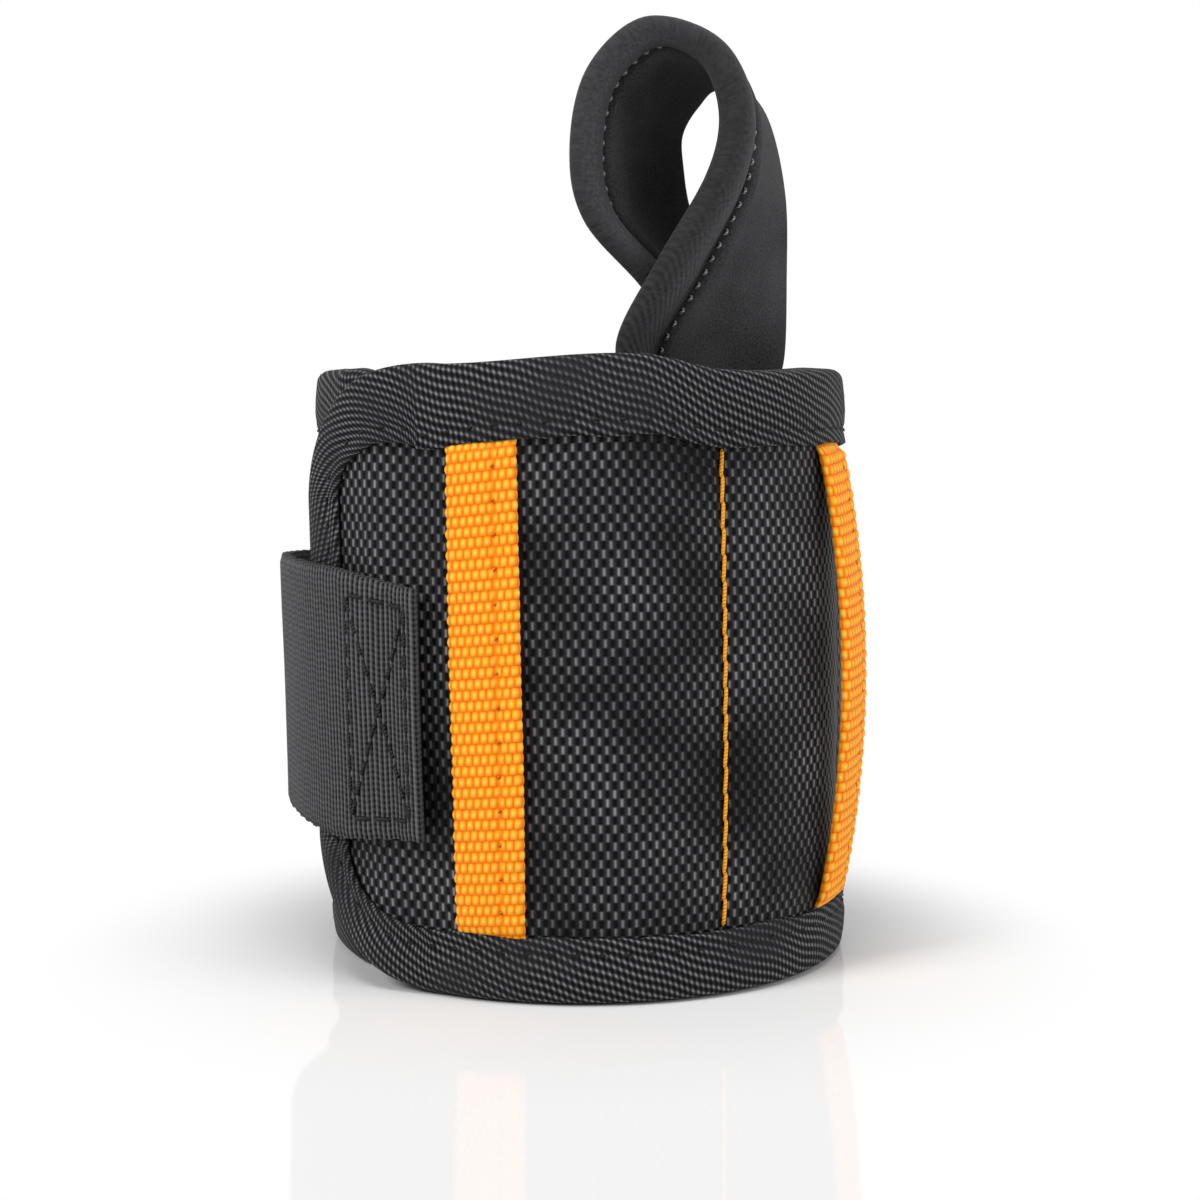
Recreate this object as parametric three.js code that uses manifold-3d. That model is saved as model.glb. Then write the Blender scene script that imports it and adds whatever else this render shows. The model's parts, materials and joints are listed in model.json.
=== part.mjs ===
// A magnetic wristband, closed into a ring and standing on its lower edge.
// A padded band of woven nylon holds rows of disc magnets between its shell and its lining. Binding tape wraps
// its edges, a webbing strap with a hook pad closes it, and a soft thumb loop rises from its upper rim.
// Millimetres, +Z up. The wrist axis is Z. A station is an angle in degrees round that axis: 0 faces -Y and
// 90 faces +X, and stations run on from the outer end of the band, through the front, to its inner end.
import * as THREE from "three";
import { mergeVertices } from "three/addons/utils/BufferGeometryUtils.js";
import Module from "manifold-3d";

const wasm = await Module();
wasm.setup();

// Driving dimensions of the band
const BAND_HEIGHT = 89;
const SHELL_RADIUS = 40; // outer face of the shell, at a seam, beside a binding
const SHELL = 1.0;
const FOAM = 4.6;
const FLAP_FOAM = 1.6;
const LINING = 1.0;
const FIT = 0.3; // clearance between pieces that are sewn face to face
const BARREL = 1.2; // how far the middle of the band swells past its bound edges
const PUFF = 1.0; // how far the shell swells between two seams

// Stations round the band, in degrees
const OUTER_END = -66;
const FLAP_FOLD = -29;
const FIRST_SEAM = -16;
const POCKET_PITCH = 45.5;
const POCKETS = 5;
const INNER_END = 314;
const UNDERLAP = 44; // how far before its end the inner end starts to dip under the flap
const FOLD_GAP = 0.6; // width of the slit at a bending line

// Overlap of the two ends
const FLAP_RISE = 2.6;
const UNDER_DIP = 2.7;
const TIP_DIP = 1.4; // how much further the inner end dips at its tip, where the flap over it is padded
const FLAP_TAPER = 8; // degrees over which the flap thins to its edge
const EDGE_LENGTH = 18; // degrees of thin, unpadded cloth at either end

// Binding tape
const TAPE = 0.9;
const TOP_TAPE_DEPTH = 11.5;
const BOTTOM_TAPE_DEPTH = 9.5;
const CORNER_LENGTH = 24; // the outer end's sloping corners: along the band and up it
const CORNER_RISE = 20;
const CORNER_BOW = 1.7; // 1 is a straight slope, 2 an ellipse
const CORNER_PINCH = 0.35; // share of its depth that the tape loses halfway round a corner
const INNER_CORNER_LENGTH = 10.5;
const INNER_CORNER_RISE = 10.5;
const INNER_CORNER_BOW = 2;
const CORNER_CLEARANCE = 1; // what the cloth keeps from its tape's fold along a corner

// Webbing, hook and loop
const STRIP_WIDTH = 11;
const STRIP = 1.4;
const LEFT_STRIP = -17.8; // stations of the middles of the two strips
const RIGHT_STRIP = 66;
const RIGHT_STRIP_BOW = 3;
const SEAM_THREAD = 0.7;
const STRAP_WIDTH = 38;
const STRAP = 1.8;
const STRAP_MIDDLE = 40.5; // height of the strap's middle
const TAB_START = -31.2;
const STRAP_FOLD = -74;
const STRAP_REACH = 1; // how far the strap's tip goes past the loop field, in degrees
const HOOK_PAD = 1.2;
const HOOK_START = -88;
const HOOK_MARGIN = 2.5;
const LOOP_FIELD = 1.2;
const LOOP_FIELD_GAP = 2.5; // from the last seam to the loop field, in degrees
const LOOP_FIELD_SPAN = 56;
const LOOP_FIELD_MARGIN = 6;

// Magnets
const MAGNET_DIAMETER = 18;
const MAGNET = 2;
const MAGNETS_IN_POCKET = 3;
const MAGNET_PITCH = 21;

// Thumb loop
const LOOP_PANEL = 2.4;
const LOOP_TAPE = 1.1;
const LOOP_TAPE_DEPTH = 6;
const LOOP_CROWN = 0.5; // extra swell of the padded edge tape
const LOOP_STEPS = 44;
const LOOP_STATION = 45;
const ANCHOR_WIDTH = 18;
const ANCHOR_DROP = 15.5; // how far the anchor reaches down inside the band
const ANCHOR_DEPTH = 6.8; // from its back, against the band, to its flat face
const ANCHOR_RISE = 1.5;
const ANCHOR_BEVEL = 48; // slope of its top, in degrees, so that the loop can lean inwards

// The loop panel's bound edge and its plain edge, from the foot of the front leg over the top to the foot of the
// rear leg. Each point is a distance along the wall from the loop's station, a distance out from the anchor's back
// and a height above the upper rim.
const BOUND_EDGE = [
  [-15.6, -5.1, 2.3],
  [-13.5, 0.4, 12.5],
  [-9.9, 5.5, 24.3],
  [-7.1, 7.7, 33.5],
  [-9.1, 5.5, 40.8],
  [-15.6, -0.8, 43.2],
  [-20.4, -5.0, 38.0],
  [-22.1, -6.4, 28.4],
  [-19.9, -6.6, 19.0],
  [-13.9, -7.5, 9.5],
  [-8.6, -9.5, 2.3],
];
const PLAIN_EDGE = [
  [15.6, -5.1, 2.3],
  [16.1, -3.0, 12.5],
  [14.8, -2.3, 25.4],
  [12.4, -4.7, 37.0],
  [9.1, -8.7, 41.0],
  [5.7, -12.3, 40.2],
  [4.0, -13.8, 36.4],
  [4.1, -13.3, 30.6],
  [5.7, -12.9, 22.0],
  [10.6, -11.4, 11.5],
  [15.5, -9.5, 2.3],
];

// Values worked out from the driving dimensions
const RADIANS = Math.PI / 180;
const DEGREES_PER_MM = 1 / (SHELL_RADIUS * RADIANS);
const HALF_FOLD = (FOLD_GAP / 2) * DEGREES_PER_MM;
const EDGE_INSET = TAPE + FIT; // the cloth stops short of the fold of its tape
const FULL_STACK = SHELL + FIT + FOAM + FIT + LINING;
const FLAP_STACK = SHELL + FIT + FLAP_FOAM + FIT + LINING;
const EDGE_STACK = SHELL + FIT + LINING;
const SEAMS = Array.from({ length: POCKETS + 1 }, (_, i) => FIRST_SEAM + i * POCKET_PITCH);
const BACK_FOLD = SEAMS[3];
const LOOP_FIELD_START = SEAMS[POCKETS] + LOOP_FIELD_GAP;
const LOOP_FIELD_END = LOOP_FIELD_START + LOOP_FIELD_SPAN;
const STRAP_TIP = LOOP_FIELD_START - STRAP_REACH - 360;
const FOAM_END = INNER_END - UNDERLAP;
const FLAP_FOAM_END = OUTER_END + EDGE_LENGTH + FLAP_TAPER;

// Materials
const plain = (color, roughness, metalness = 0) =>
  new THREE.MeshStandardMaterial({ color, roughness, metalness });
const BALLISTIC_NYLON = plain(0x2b2b2d, 0.55);
const TWILL_TAPE = plain(0x303032, 0.75);
const MESH_LINING = plain(0x1d1d1f, 0.9);
const FOAM_SHEET = plain(0x55565a, 0.95);
const ORANGE_WEBBING = plain(0xfca311, 0.6);
const ORANGE_THREAD = plain(0xf5a81c, 0.5);
const GREY_WEBBING = plain(0x3c3c3e, 0.7);
const HOOK_TAPE = plain(0x1a1a1b, 0.8);
const LOOP_TAPE_CLOTH = plain(0x202022, 0.98);
const NEOPRENE = plain(0x262628, 0.9);
const NICKEL_PLATE = plain(0xb8babd, 0.25, 1);

const band = new THREE.Group();

function add(name, geometry, material) {
  const mesh = new THREE.Mesh(geometry, material);
  mesh.name = name;
  band.add(mesh);
}

// Geometry helpers
function ease(from, to, x) {
  const t = THREE.MathUtils.clamp((x - from) / (to - from), 0, 1);
  return t * t * (3 - 2 * t);
}

function at(station, radius, z) {
  const a = station * RADIANS;
  return new THREE.Vector3(radius * Math.sin(a), -radius * Math.cos(a), z);
}

function spread(from, to, steps) {
  return Array.from({ length: steps + 1 }, (_, i) => from + ((to - from) * i) / steps);
}

// A closed solid through a row of closed sections that all have the same number of points.
function loft(sections) {
  const count = sections[0].length;
  const position = sections.flat().flatMap((p) => [p.x, p.y, p.z]);
  const index = [];
  for (let s = 0; s + 1 < sections.length; s++) {
    for (let i = 0; i < count; i++) {
      const a = s * count + i;
      const b = s * count + ((i + 1) % count);
      index.push(a, b, a + count, b, b + count, a + count);
    }
  }
  const cap = (section, first, flip) => {
    for (const [a, b, c] of THREE.ShapeUtils.triangulateShape(flatten(section), [])) {
      index.push(first + a, first + (flip ? c : b), first + (flip ? b : c));
    }
  };
  cap(sections[0], 0, true);
  cap(sections.at(-1), (sections.length - 1) * count, false);
  const geometry = new THREE.BufferGeometry();
  geometry.setAttribute("position", new THREE.Float32BufferAttribute(position, 3));
  geometry.setIndex(volumeOf(position, index) < 0 ? index.reverse() : index);
  return geometry;
}

// A section's points in its own plane, turned so that triangulating it keeps the order round the loop.
function flatten(section) {
  const normal = new THREE.Vector3();
  section.forEach((p, i) => normal.add(p.clone().cross(section[(i + 1) % section.length])));
  normal.normalize();
  const across = section[1].clone().sub(section[0]);
  across.addScaledVector(normal, -across.dot(normal)).normalize();
  const up = normal.clone().cross(across);
  return section.map((p) => new THREE.Vector2(p.dot(across), p.dot(up)));
}

function volumeOf(position, index) {
  const corner = (i) => new THREE.Vector3().fromArray(position, 3 * index[i]);
  let sum = 0;
  for (let i = 0; i < index.length; i += 3) {
    sum += corner(i).dot(corner(i + 1).cross(corner(i + 2)));
  }
  return sum;
}

function solidOf(geometry) {
  const bare = geometry.clone();
  bare.deleteAttribute("normal");
  bare.deleteAttribute("uv");
  const merged = mergeVertices(bare, 1e-4);
  const mesh = new wasm.Mesh({
    numProp: 3,
    vertProperties: new Float32Array(merged.attributes.position.array),
    triVerts: new Uint32Array(merged.index.array),
  });
  return new wasm.Manifold(mesh);
}

function cut(geometry, cutters) {
  const left = cutters.reduce((solid, cutter) => solid.subtract(solidOf(cutter)), solidOf(geometry));
  const mesh = left.getMesh();
  const made = new THREE.BufferGeometry();
  made.setAttribute("position", new THREE.BufferAttribute(new Float32Array(mesh.vertProperties), 3));
  made.setIndex(new THREE.BufferAttribute(new Uint32Array(mesh.triVerts), 1));
  return made;
}

// The shape of the closed band: faces of the cloth as radii at a station and a height
const padded = (station) =>
  ease(FLAP_FOAM_END - FLAP_TAPER, FLAP_FOAM_END, station) * ease(INNER_END - EDGE_LENGTH, FOAM_END, station);

function endShift(station) {
  const rise = FLAP_RISE * ease(FLAP_FOLD, OUTER_END + EDGE_LENGTH, station);
  const tip = TIP_DIP * ease(INNER_END - EDGE_LENGTH, INNER_END - EDGE_LENGTH / 2, station);
  return rise - tip - UNDER_DIP * ease(FOAM_END - EDGE_LENGTH, INNER_END - EDGE_LENGTH, station);
}

function swell(station, z) {
  const height = (2 * z) / BAND_HEIGHT - 1;
  const inPocket = station > SEAMS[0] && station < SEAMS[POCKETS];
  const puff = inPocket ? PUFF * Math.sin((Math.PI * (station - FIRST_SEAM)) / POCKET_PITCH) ** 2 : 0;
  return (BARREL * padded(station) + puff) * Math.max(0, 1 - height * height);
}

function stack(station) {
  const flap = FULL_STACK + (FLAP_STACK - FULL_STACK) * ease(FLAP_FOLD, FLAP_FOLD - FLAP_TAPER, station);
  return EDGE_STACK + (flap - EDGE_STACK) * padded(station);
}

const shellOuter = (station, z) => SHELL_RADIUS + endShift(station) + swell(station, z);
const liningInner = (station) => SHELL_RADIUS + endShift(station) - stack(station);

// The corners of the two ends: where each starts, its size, and which way along the band its end lies
const OUTER_CORNER = { long: CORNER_LENGTH, high: CORNER_RISE, bow: CORNER_BOW, end: OUTER_END, way: -1 };
const INNER_CORNER = {
  long: INNER_CORNER_LENGTH,
  high: INNER_CORNER_RISE,
  bow: INNER_CORNER_BOW,
  end: INNER_END,
  way: 1,
};
const cornerStart = ({ end, way, long }) => end - way * long * DEGREES_PER_MM;

// How far a corner takes the cloth's edge in from the rim at a station
function cornerInset(station, corner) {
  const long = corner.long - EDGE_INSET - CORNER_CLEARANCE;
  const high = corner.high - EDGE_INSET - CORNER_CLEARANCE;
  const past = ((station - cornerStart(corner)) * corner.way) / DEGREES_PER_MM;
  const share = THREE.MathUtils.clamp(past / long, 0, 1);
  return high * (1 - (1 - share ** corner.bow) ** (1 / corner.bow));
}

// A sheet or pad of the band between two radii, over a row of stations
function panel(stations, innerFace, outerFace, heights, inset = () => 0) {
  const sections = stations.map((station) => {
    const trim = EDGE_INSET + inset(station);
    const zs = heights.map((h) => trim + (BAND_HEIGHT - 2 * trim) * h);
    const outer = zs.map((z) => at(station, outerFace(station, z), z));
    const inner = [zs.at(-1), zs[0]].map((z) => at(station, innerFace(station, z), z));
    return [...outer, ...inner];
  });
  return loft(sections);
}

// A sheet whose two faces both swell
function sheet(stations, thickness, heights, inset = () => 0) {
  const sections = stations.map((station) => {
    const trim = EDGE_INSET + inset(station);
    const zs = heights.map((h) => trim + (BAND_HEIGHT - 2 * trim) * h);
    const outer = zs.map((z) => at(station, shellOuter(station, z), z));
    const inner = zs.map((z) => at(station, shellOuter(station, z) - thickness, z)).reverse();
    return [...outer, ...inner];
  });
  return loft(sections);
}

// Binding tape folded over an edge. Each place on the edge has a station, a height and the way in from the edge.
function binding(places) {
  const sections = places.map(({ station, z, inStation, inZ, depth }) => {
    const to = (inward, radius, lift) => {
      const s = station + inStation * inward * DEGREES_PER_MM;
      const h = z + inZ * inward;
      return at(s, radius(s, h) + lift, h);
    };
    const flange = [1, 0.75, 0.5, 0.25].map((share) => share * depth);
    const across = flange.toReversed();
    return [
      ...flange.map((inward) => to(inward, shellOuter, FIT + TAPE)),
      to(0, shellOuter, FIT + TAPE),
      to(0, liningInner, -FIT - TAPE),
      ...across.map((inward) => to(inward, liningInner, -FIT - TAPE)),
      ...flange.map((inward) => to(inward, liningInner, -FIT)),
      to(TAPE, liningInner, -FIT),
      to(TAPE, shellOuter, FIT),
      ...across.map((inward) => to(inward, shellOuter, FIT)),
    ];
  });
  return loft(sections);
}

const topEdge = (stations) =>
  stations.map((station) => ({ station, z: BAND_HEIGHT, inStation: 0, inZ: -1, depth: TOP_TAPE_DEPTH }));
const bottomEdge = (stations) =>
  stations.map((station) => ({ station, z: 0, inStation: 0, inZ: 1, depth: BOTTOM_TAPE_DEPTH }));

// The edge round one end of the band, from its upper rim to its lower one, with its two corners
function endEdge(corner) {
  const { long, high, bow, way } = corner;
  const place = (turn, sense) => {
    const along = Math.sin(turn) ** (2 / bow);
    const up = Math.cos(turn) ** (2 / bow);
    const inward = new THREE.Vector2(along ** (bow - 1) / long, up ** (bow - 1) / high).normalize();
    const rimDepth = sense > 0 ? TOP_TAPE_DEPTH : BOTTOM_TAPE_DEPTH;
    const depth = rimDepth + (BOTTOM_TAPE_DEPTH - rimDepth) * inward.x;
    return {
      station: cornerStart(corner) + way * long * along * DEGREES_PER_MM,
      z: sense > 0 ? BAND_HEIGHT - high * (1 - up) : high * (1 - up),
      inStation: -way * inward.x,
      inZ: -sense * inward.y,
      depth: depth * (1 - CORNER_PINCH * 2 * inward.x * inward.y),
    };
  };
  const turns = spread(0, Math.PI / 2, 10);
  return [...turns.map((turn) => place(turn, 1)), ...turns.map((turn) => place(turn, -1)).reverse()];
}

// Sections of the band: the front is the part that the other bodies hang on
const HEIGHTS = spread(0, 1, 6);
const FRONT = spread(FLAP_FOLD + HALF_FOLD, BACK_FOLD - HALF_FOLD, 26);
const BACK = [...spread(BACK_FOLD + HALF_FOLD, FOAM_END, 26), ...spread(FOAM_END, INNER_END, 6).slice(1)];
const flapStart = FLAP_FOLD - HALF_FOLD;
const BACK_CORNER = cornerStart(INNER_CORNER);

// Stations along a corner, closer together where its edge is steep
function cornerStations(corner) {
  const long = corner.long - EDGE_INSET - CORNER_CLEARANCE;
  return spread(0, Math.PI / 2, 14).map(
    (turn) => cornerStart(corner) + corner.way * long * Math.sin(turn) ** (2 / corner.bow) * DEGREES_PER_MM,
  );
}
const FLAP = [flapStart, ...cornerStations(OUTER_CORNER)];
const BACK_SHEET = [...BACK.filter((station) => station < BACK_CORNER - 1), ...cornerStations(INNER_CORNER)];
const flapInset = (station) => cornerInset(station, OUTER_CORNER);
const backInset = (station) => (station > BACK_CORNER ? cornerInset(station, INNER_CORNER) : 0);

const foamOuter = (station, z) => shellOuter(station, z) - SHELL - FIT;
const foamInner = (station) => liningInner(station) + LINING + FIT;
const liningOuter = (station) => liningInner(station) + LINING;

// Disc magnets in columns, one column in the middle of each pocket, and the recesses that seat them in the foam
const magnetFace = Math.sqrt((SHELL_RADIUS - SHELL - 2 * FIT) ** 2 - (MAGNET_DIAMETER / 2) ** 2);
const MAGNET_SIDES = 16;

function disc(diameter, inner, outer, station, z) {
  const geometry = new THREE.CylinderGeometry(diameter / 2, diameter / 2, outer - inner, MAGNET_SIDES);
  const middle = at(station, (inner + outer) / 2, z);
  return geometry.rotateZ(station * RADIANS).translate(middle.x, middle.y, middle.z);
}

const magnets = [];
for (let pocket = 0; pocket < POCKETS; pocket++) {
  for (let row = 0; row < MAGNETS_IN_POCKET; row++) {
    const station = SEAMS[pocket] + POCKET_PITCH / 2;
    const z = BAND_HEIGHT / 2 + (row - (MAGNETS_IN_POCKET - 1) / 2) * MAGNET_PITCH;
    magnets.push({ name: `magnet_${pocket + 1}_${row + 1}`, station, z });
  }
}
for (const { name, station, z } of magnets) {
  add(name, disc(MAGNET_DIAMETER, magnetFace - MAGNET, magnetFace, station, z), NICKEL_PLATE);
}

function recesses(from, to) {
  const inner = magnetFace - MAGNET - FIT;
  const outer = SHELL_RADIUS + BARREL + PUFF;
  return magnets
    .filter(({ station }) => station > from && station < to)
    .map(({ station, z }) => disc(MAGNET_DIAMETER + 2 * FIT, inner, outer, station, z));
}

// Front of the band
add("front_shell", sheet(FRONT, SHELL, HEIGHTS), BALLISTIC_NYLON);
const frontFoam = panel(FRONT, foamInner, foamOuter, HEIGHTS);
add("front_foam", cut(frontFoam, recesses(FLAP_FOLD, BACK_FOLD)), FOAM_SHEET);
add("front_lining", panel(FRONT, liningInner, liningOuter, [0, 1]), MESH_LINING);
add("front_top_binding", binding(topEdge(FRONT)), TWILL_TAPE);
add("front_bottom_binding", binding(bottomEdge(FRONT)), TWILL_TAPE);

// Back of the band, down to the inner end that slips under the flap
const BACK_FOAM = BACK.filter((station) => station <= FOAM_END);
const BACK_RIM = [...BACK.filter((station) => station < BACK_CORNER - 2), BACK_CORNER - HALF_FOLD];
add("back_shell", sheet(BACK_SHEET, SHELL, HEIGHTS, backInset), BALLISTIC_NYLON);
const backFoam = panel(BACK_FOAM, foamInner, foamOuter, HEIGHTS);
add("back_foam", cut(backFoam, recesses(BACK_FOLD, INNER_END)), FOAM_SHEET);
add("back_lining", panel(BACK_SHEET, liningInner, liningOuter, [0, 1], backInset), MESH_LINING);
add("back_top_binding", binding(topEdge(BACK_RIM)), TWILL_TAPE);
add("back_bottom_binding", binding(bottomEdge(BACK_RIM)), TWILL_TAPE);
add("inner_end_binding", binding(endEdge(INNER_CORNER)), TWILL_TAPE);

// Outer flap
const FLAP_FOAM_RUN = FLAP.filter((station) => station >= FLAP_FOAM_END);
const FLAP_RIM = [flapStart];
const flapEdge = [
  ...topEdge(FLAP_RIM),
  ...endEdge(OUTER_CORNER),
  ...bottomEdge(FLAP_RIM).reverse(),
];
add("flap_shell", sheet(FLAP, SHELL, HEIGHTS, flapInset), BALLISTIC_NYLON);
add("flap_foam", panel(FLAP_FOAM_RUN, foamInner, foamOuter, HEIGHTS, flapInset), FOAM_SHEET);
add("flap_lining", panel(FLAP, liningInner, liningOuter, [0, 1], flapInset), MESH_LINING);
add("flap_edge_binding", binding(flapEdge), TWILL_TAPE);

// Orange webbing strips, sewn over two of the pocket seams and tucked against the bindings
function strip(station, bow) {
  const half = (STRIP_WIDTH / 2) * DEGREES_PER_MM;
  const low = BOTTOM_TAPE_DEPTH + FIT;
  const high = BAND_HEIGHT - TOP_TAPE_DEPTH - FIT;
  const sections = spread(0, 1, 12).map((t) => {
    const z = low + (high - low) * t;
    const stand = FIT + bow * Math.sin(Math.PI * t);
    const edge = (side, lift) => {
      const s = station + side * half;
      return at(s, shellOuter(s, z) + stand + lift, z);
    };
    return [edge(-1, STRIP), edge(0, STRIP), edge(1, STRIP), edge(1, 0), edge(0, 0), edge(-1, 0)];
  });
  return loft(sections);
}
add("left_webbing_strip", strip(LEFT_STRIP, PUFF / 2), ORANGE_WEBBING);
add("right_webbing_strip", strip(RIGHT_STRIP, RIGHT_STRIP_BOW), ORANGE_WEBBING);

// Orange thread along the pocket seams that no strip covers
function seamThread(station) {
  const half = (SEAM_THREAD / 2) * DEGREES_PER_MM;
  const low = BOTTOM_TAPE_DEPTH + FIT;
  const high = BAND_HEIGHT - TOP_TAPE_DEPTH - FIT;
  const sections = spread(low, high, 6).map((z) => {
    const radius = shellOuter(station, z) + FIT;
    return [
      at(station - half, radius, z),
      at(station - half, radius + SEAM_THREAD, z),
      at(station + half, radius + SEAM_THREAD, z),
      at(station + half, radius, z),
    ];
  });
  return loft(sections);
}
const besideFold = HALF_FOLD + SEAM_THREAD * DEGREES_PER_MM;
add("front_seam_thread", seamThread(SEAMS[1]), ORANGE_THREAD);
add("side_seam_thread", seamThread(BACK_FOLD - besideFold), ORANGE_THREAD);
add("rear_seam_thread", seamThread(SEAMS[4]), ORANGE_THREAD);

// Closure strap: a doubled tab sewn to the flap, then one webbing layer with a hook pad that meets the loop field
const overTape = (station) => ease(OUTER_END + EDGE_LENGTH + FLAP_TAPER, OUTER_END + EDGE_LENGTH, station);
const strapInner = SHELL_RADIUS + BARREL + FIT + LOOP_FIELD + FIT + HOOK_PAD + FIT;

function tabInner(station, z) {
  return shellOuter(station, z) + FIT + (FIT + TAPE) * overTape(station);
}

function wrap(stations, inner, thickness, low, high) {
  const sections = stations.map((station) => {
    const middle = (low + high) / 2;
    const edge = (z, lift) => at(station, inner(station, z) + lift, z);
    const outside = [edge(low, thickness), edge(middle, thickness), edge(high, thickness)];
    return [edge(low, 0), ...outside, edge(high, 0), edge(middle, 0)];
  });
  return loft(sections);
}
const strapLow = STRAP_MIDDLE - STRAP_WIDTH / 2;
const strapHigh = STRAP_MIDDLE + STRAP_WIDTH / 2;
const tabEnd = STRAP_FOLD + HALF_FOLD;
const strapRun = spread(STRAP_FOLD - HALF_FOLD, STRAP_TIP, 14);
const hookRun = spread(HOOK_START, STRAP_TIP + HOOK_MARGIN * DEGREES_PER_MM, 10);
const loopRun = spread(LOOP_FIELD_START, LOOP_FIELD_END, 10);
const hookInner = strapInner - FIT - HOOK_PAD;
add("strap_tab", wrap(spread(TAB_START, tabEnd, 9), tabInner, STRAP, strapLow, strapHigh), GREY_WEBBING);
add("closure_strap", wrap(strapRun, () => strapInner, STRAP, strapLow, strapHigh), GREY_WEBBING);
const hookLow = strapLow + HOOK_MARGIN;
const hookHigh = strapHigh - HOOK_MARGIN;
add("hook_pad", wrap(hookRun, () => hookInner, HOOK_PAD, hookLow, hookHigh), HOOK_TAPE);
add(
  "loop_field",
  wrap(
    loopRun,
    (station, z) => shellOuter(station, z) + FIT,
    LOOP_FIELD,
    strapLow - LOOP_FIELD_MARGIN,
    strapHigh + LOOP_FIELD_MARGIN,
  ),
  LOOP_TAPE_CLOTH,
);

// Thumb loop: one panel bent into a loop, its bound edge towards the thumb, both feet sewn to an anchor
const anchorArc = SHELL_RADIUS - FULL_STACK - FIT - TAPE - FIT;

function atLoop(side, distance, z) {
  const a = LOOP_STATION * RADIANS;
  const x = distance * Math.sin(a) + side * Math.cos(a);
  return new THREE.Vector3(x, -distance * Math.cos(a) + side * Math.sin(a), z);
}

const edgeCurve = (points) =>
  new THREE.CatmullRomCurve3(points.map(([side, out, up]) => atLoop(side, anchorArc + out, BAND_HEIGHT + up)));
const boundCurve = edgeCurve(BOUND_EDGE);
const plainCurve = edgeCurve(PLAIN_EDGE);

function ribbon(outline) {
  const sections = spread(0, 1, LOOP_STEPS).map((t) => {
    const bound = boundCurve.getPoint(t);
    const across = plainCurve.getPoint(t).sub(bound);
    const width = across.length();
    across.normalize();
    const along = boundCurve.getTangent(t).add(plainCurve.getTangent(t));
    along.addScaledVector(across, -along.dot(across)).normalize();
    const out = along.clone().cross(across);
    return outline(width).map(([u, v]) => bound.clone().addScaledVector(across, u).addScaledVector(out, v));
  });
  return loft(sections);
}

const halfPanel = LOOP_PANEL / 2;
const slot = halfPanel + FIT;
const tapeFace = slot + LOOP_TAPE;
add(
  "thumb_loop_panel",
  ribbon((width) => [
    [0, -halfPanel],
    [LOOP_TAPE_DEPTH, -halfPanel],
    [width / 2, -halfPanel],
    [width, -halfPanel],
    [width, halfPanel],
    [width / 2, halfPanel],
    [LOOP_TAPE_DEPTH, halfPanel],
    [0, halfPanel],
  ]),
  NEOPRENE,
);
add(
  "thumb_loop_binding",
  ribbon(() => [
    [LOOP_TAPE_DEPTH, slot],
    [LOOP_TAPE_DEPTH, tapeFace],
    [LOOP_TAPE_DEPTH / 2, tapeFace + LOOP_CROWN],
    [-FIT, tapeFace],
    [-FIT - LOOP_TAPE, 0],
    [-FIT, -tapeFace],
    [LOOP_TAPE_DEPTH / 2, -tapeFace - LOOP_CROWN],
    [LOOP_TAPE_DEPTH, -tapeFace],
    [LOOP_TAPE_DEPTH, -slot],
    [-FIT, -slot],
    [-FIT, slot],
  ]),
  TWILL_TAPE,
);

// Anchor of the thumb loop: a sewn block against the inside of the band, its top sloped away under the loop
const anchorFace = anchorArc - ANCHOR_DEPTH;
const anchorSections = spread(-ANCHOR_WIDTH / 2, ANCHOR_WIDTH / 2, 8).map((side) => {
  const wall = Math.sqrt(anchorArc ** 2 - side ** 2);
  const crest = Math.sqrt(anchorArc ** 2 - (ANCHOR_WIDTH / 2) ** 2);
  const low = BAND_HEIGHT - ANCHOR_DROP;
  const high = BAND_HEIGHT + ANCHOR_RISE;
  const face = high - (crest - anchorFace) * Math.tan(ANCHOR_BEVEL * RADIANS);
  return [
    atLoop(side, anchorFace, low),
    atLoop(side, wall, low),
    atLoop(side, wall, high),
    atLoop(side, crest - FIT, high),
    atLoop(side, anchorFace, face),
  ];
});
add("thumb_loop_anchor", loft(anchorSections), NEOPRENE);

// The origin is on the floor, under the middle of the whole object
const middle = new THREE.Box3().setFromObject(band).getCenter(new THREE.Vector3());
band.children.forEach((mesh) => mesh.geometry.translate(-middle.x, -middle.y, 0));

export default band;
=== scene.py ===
"""Looks of a magnetic wristband: a padded nylon band closed into a ring, standing on its lower edge."""

import json
import math

import bpy
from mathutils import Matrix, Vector, noise


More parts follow.
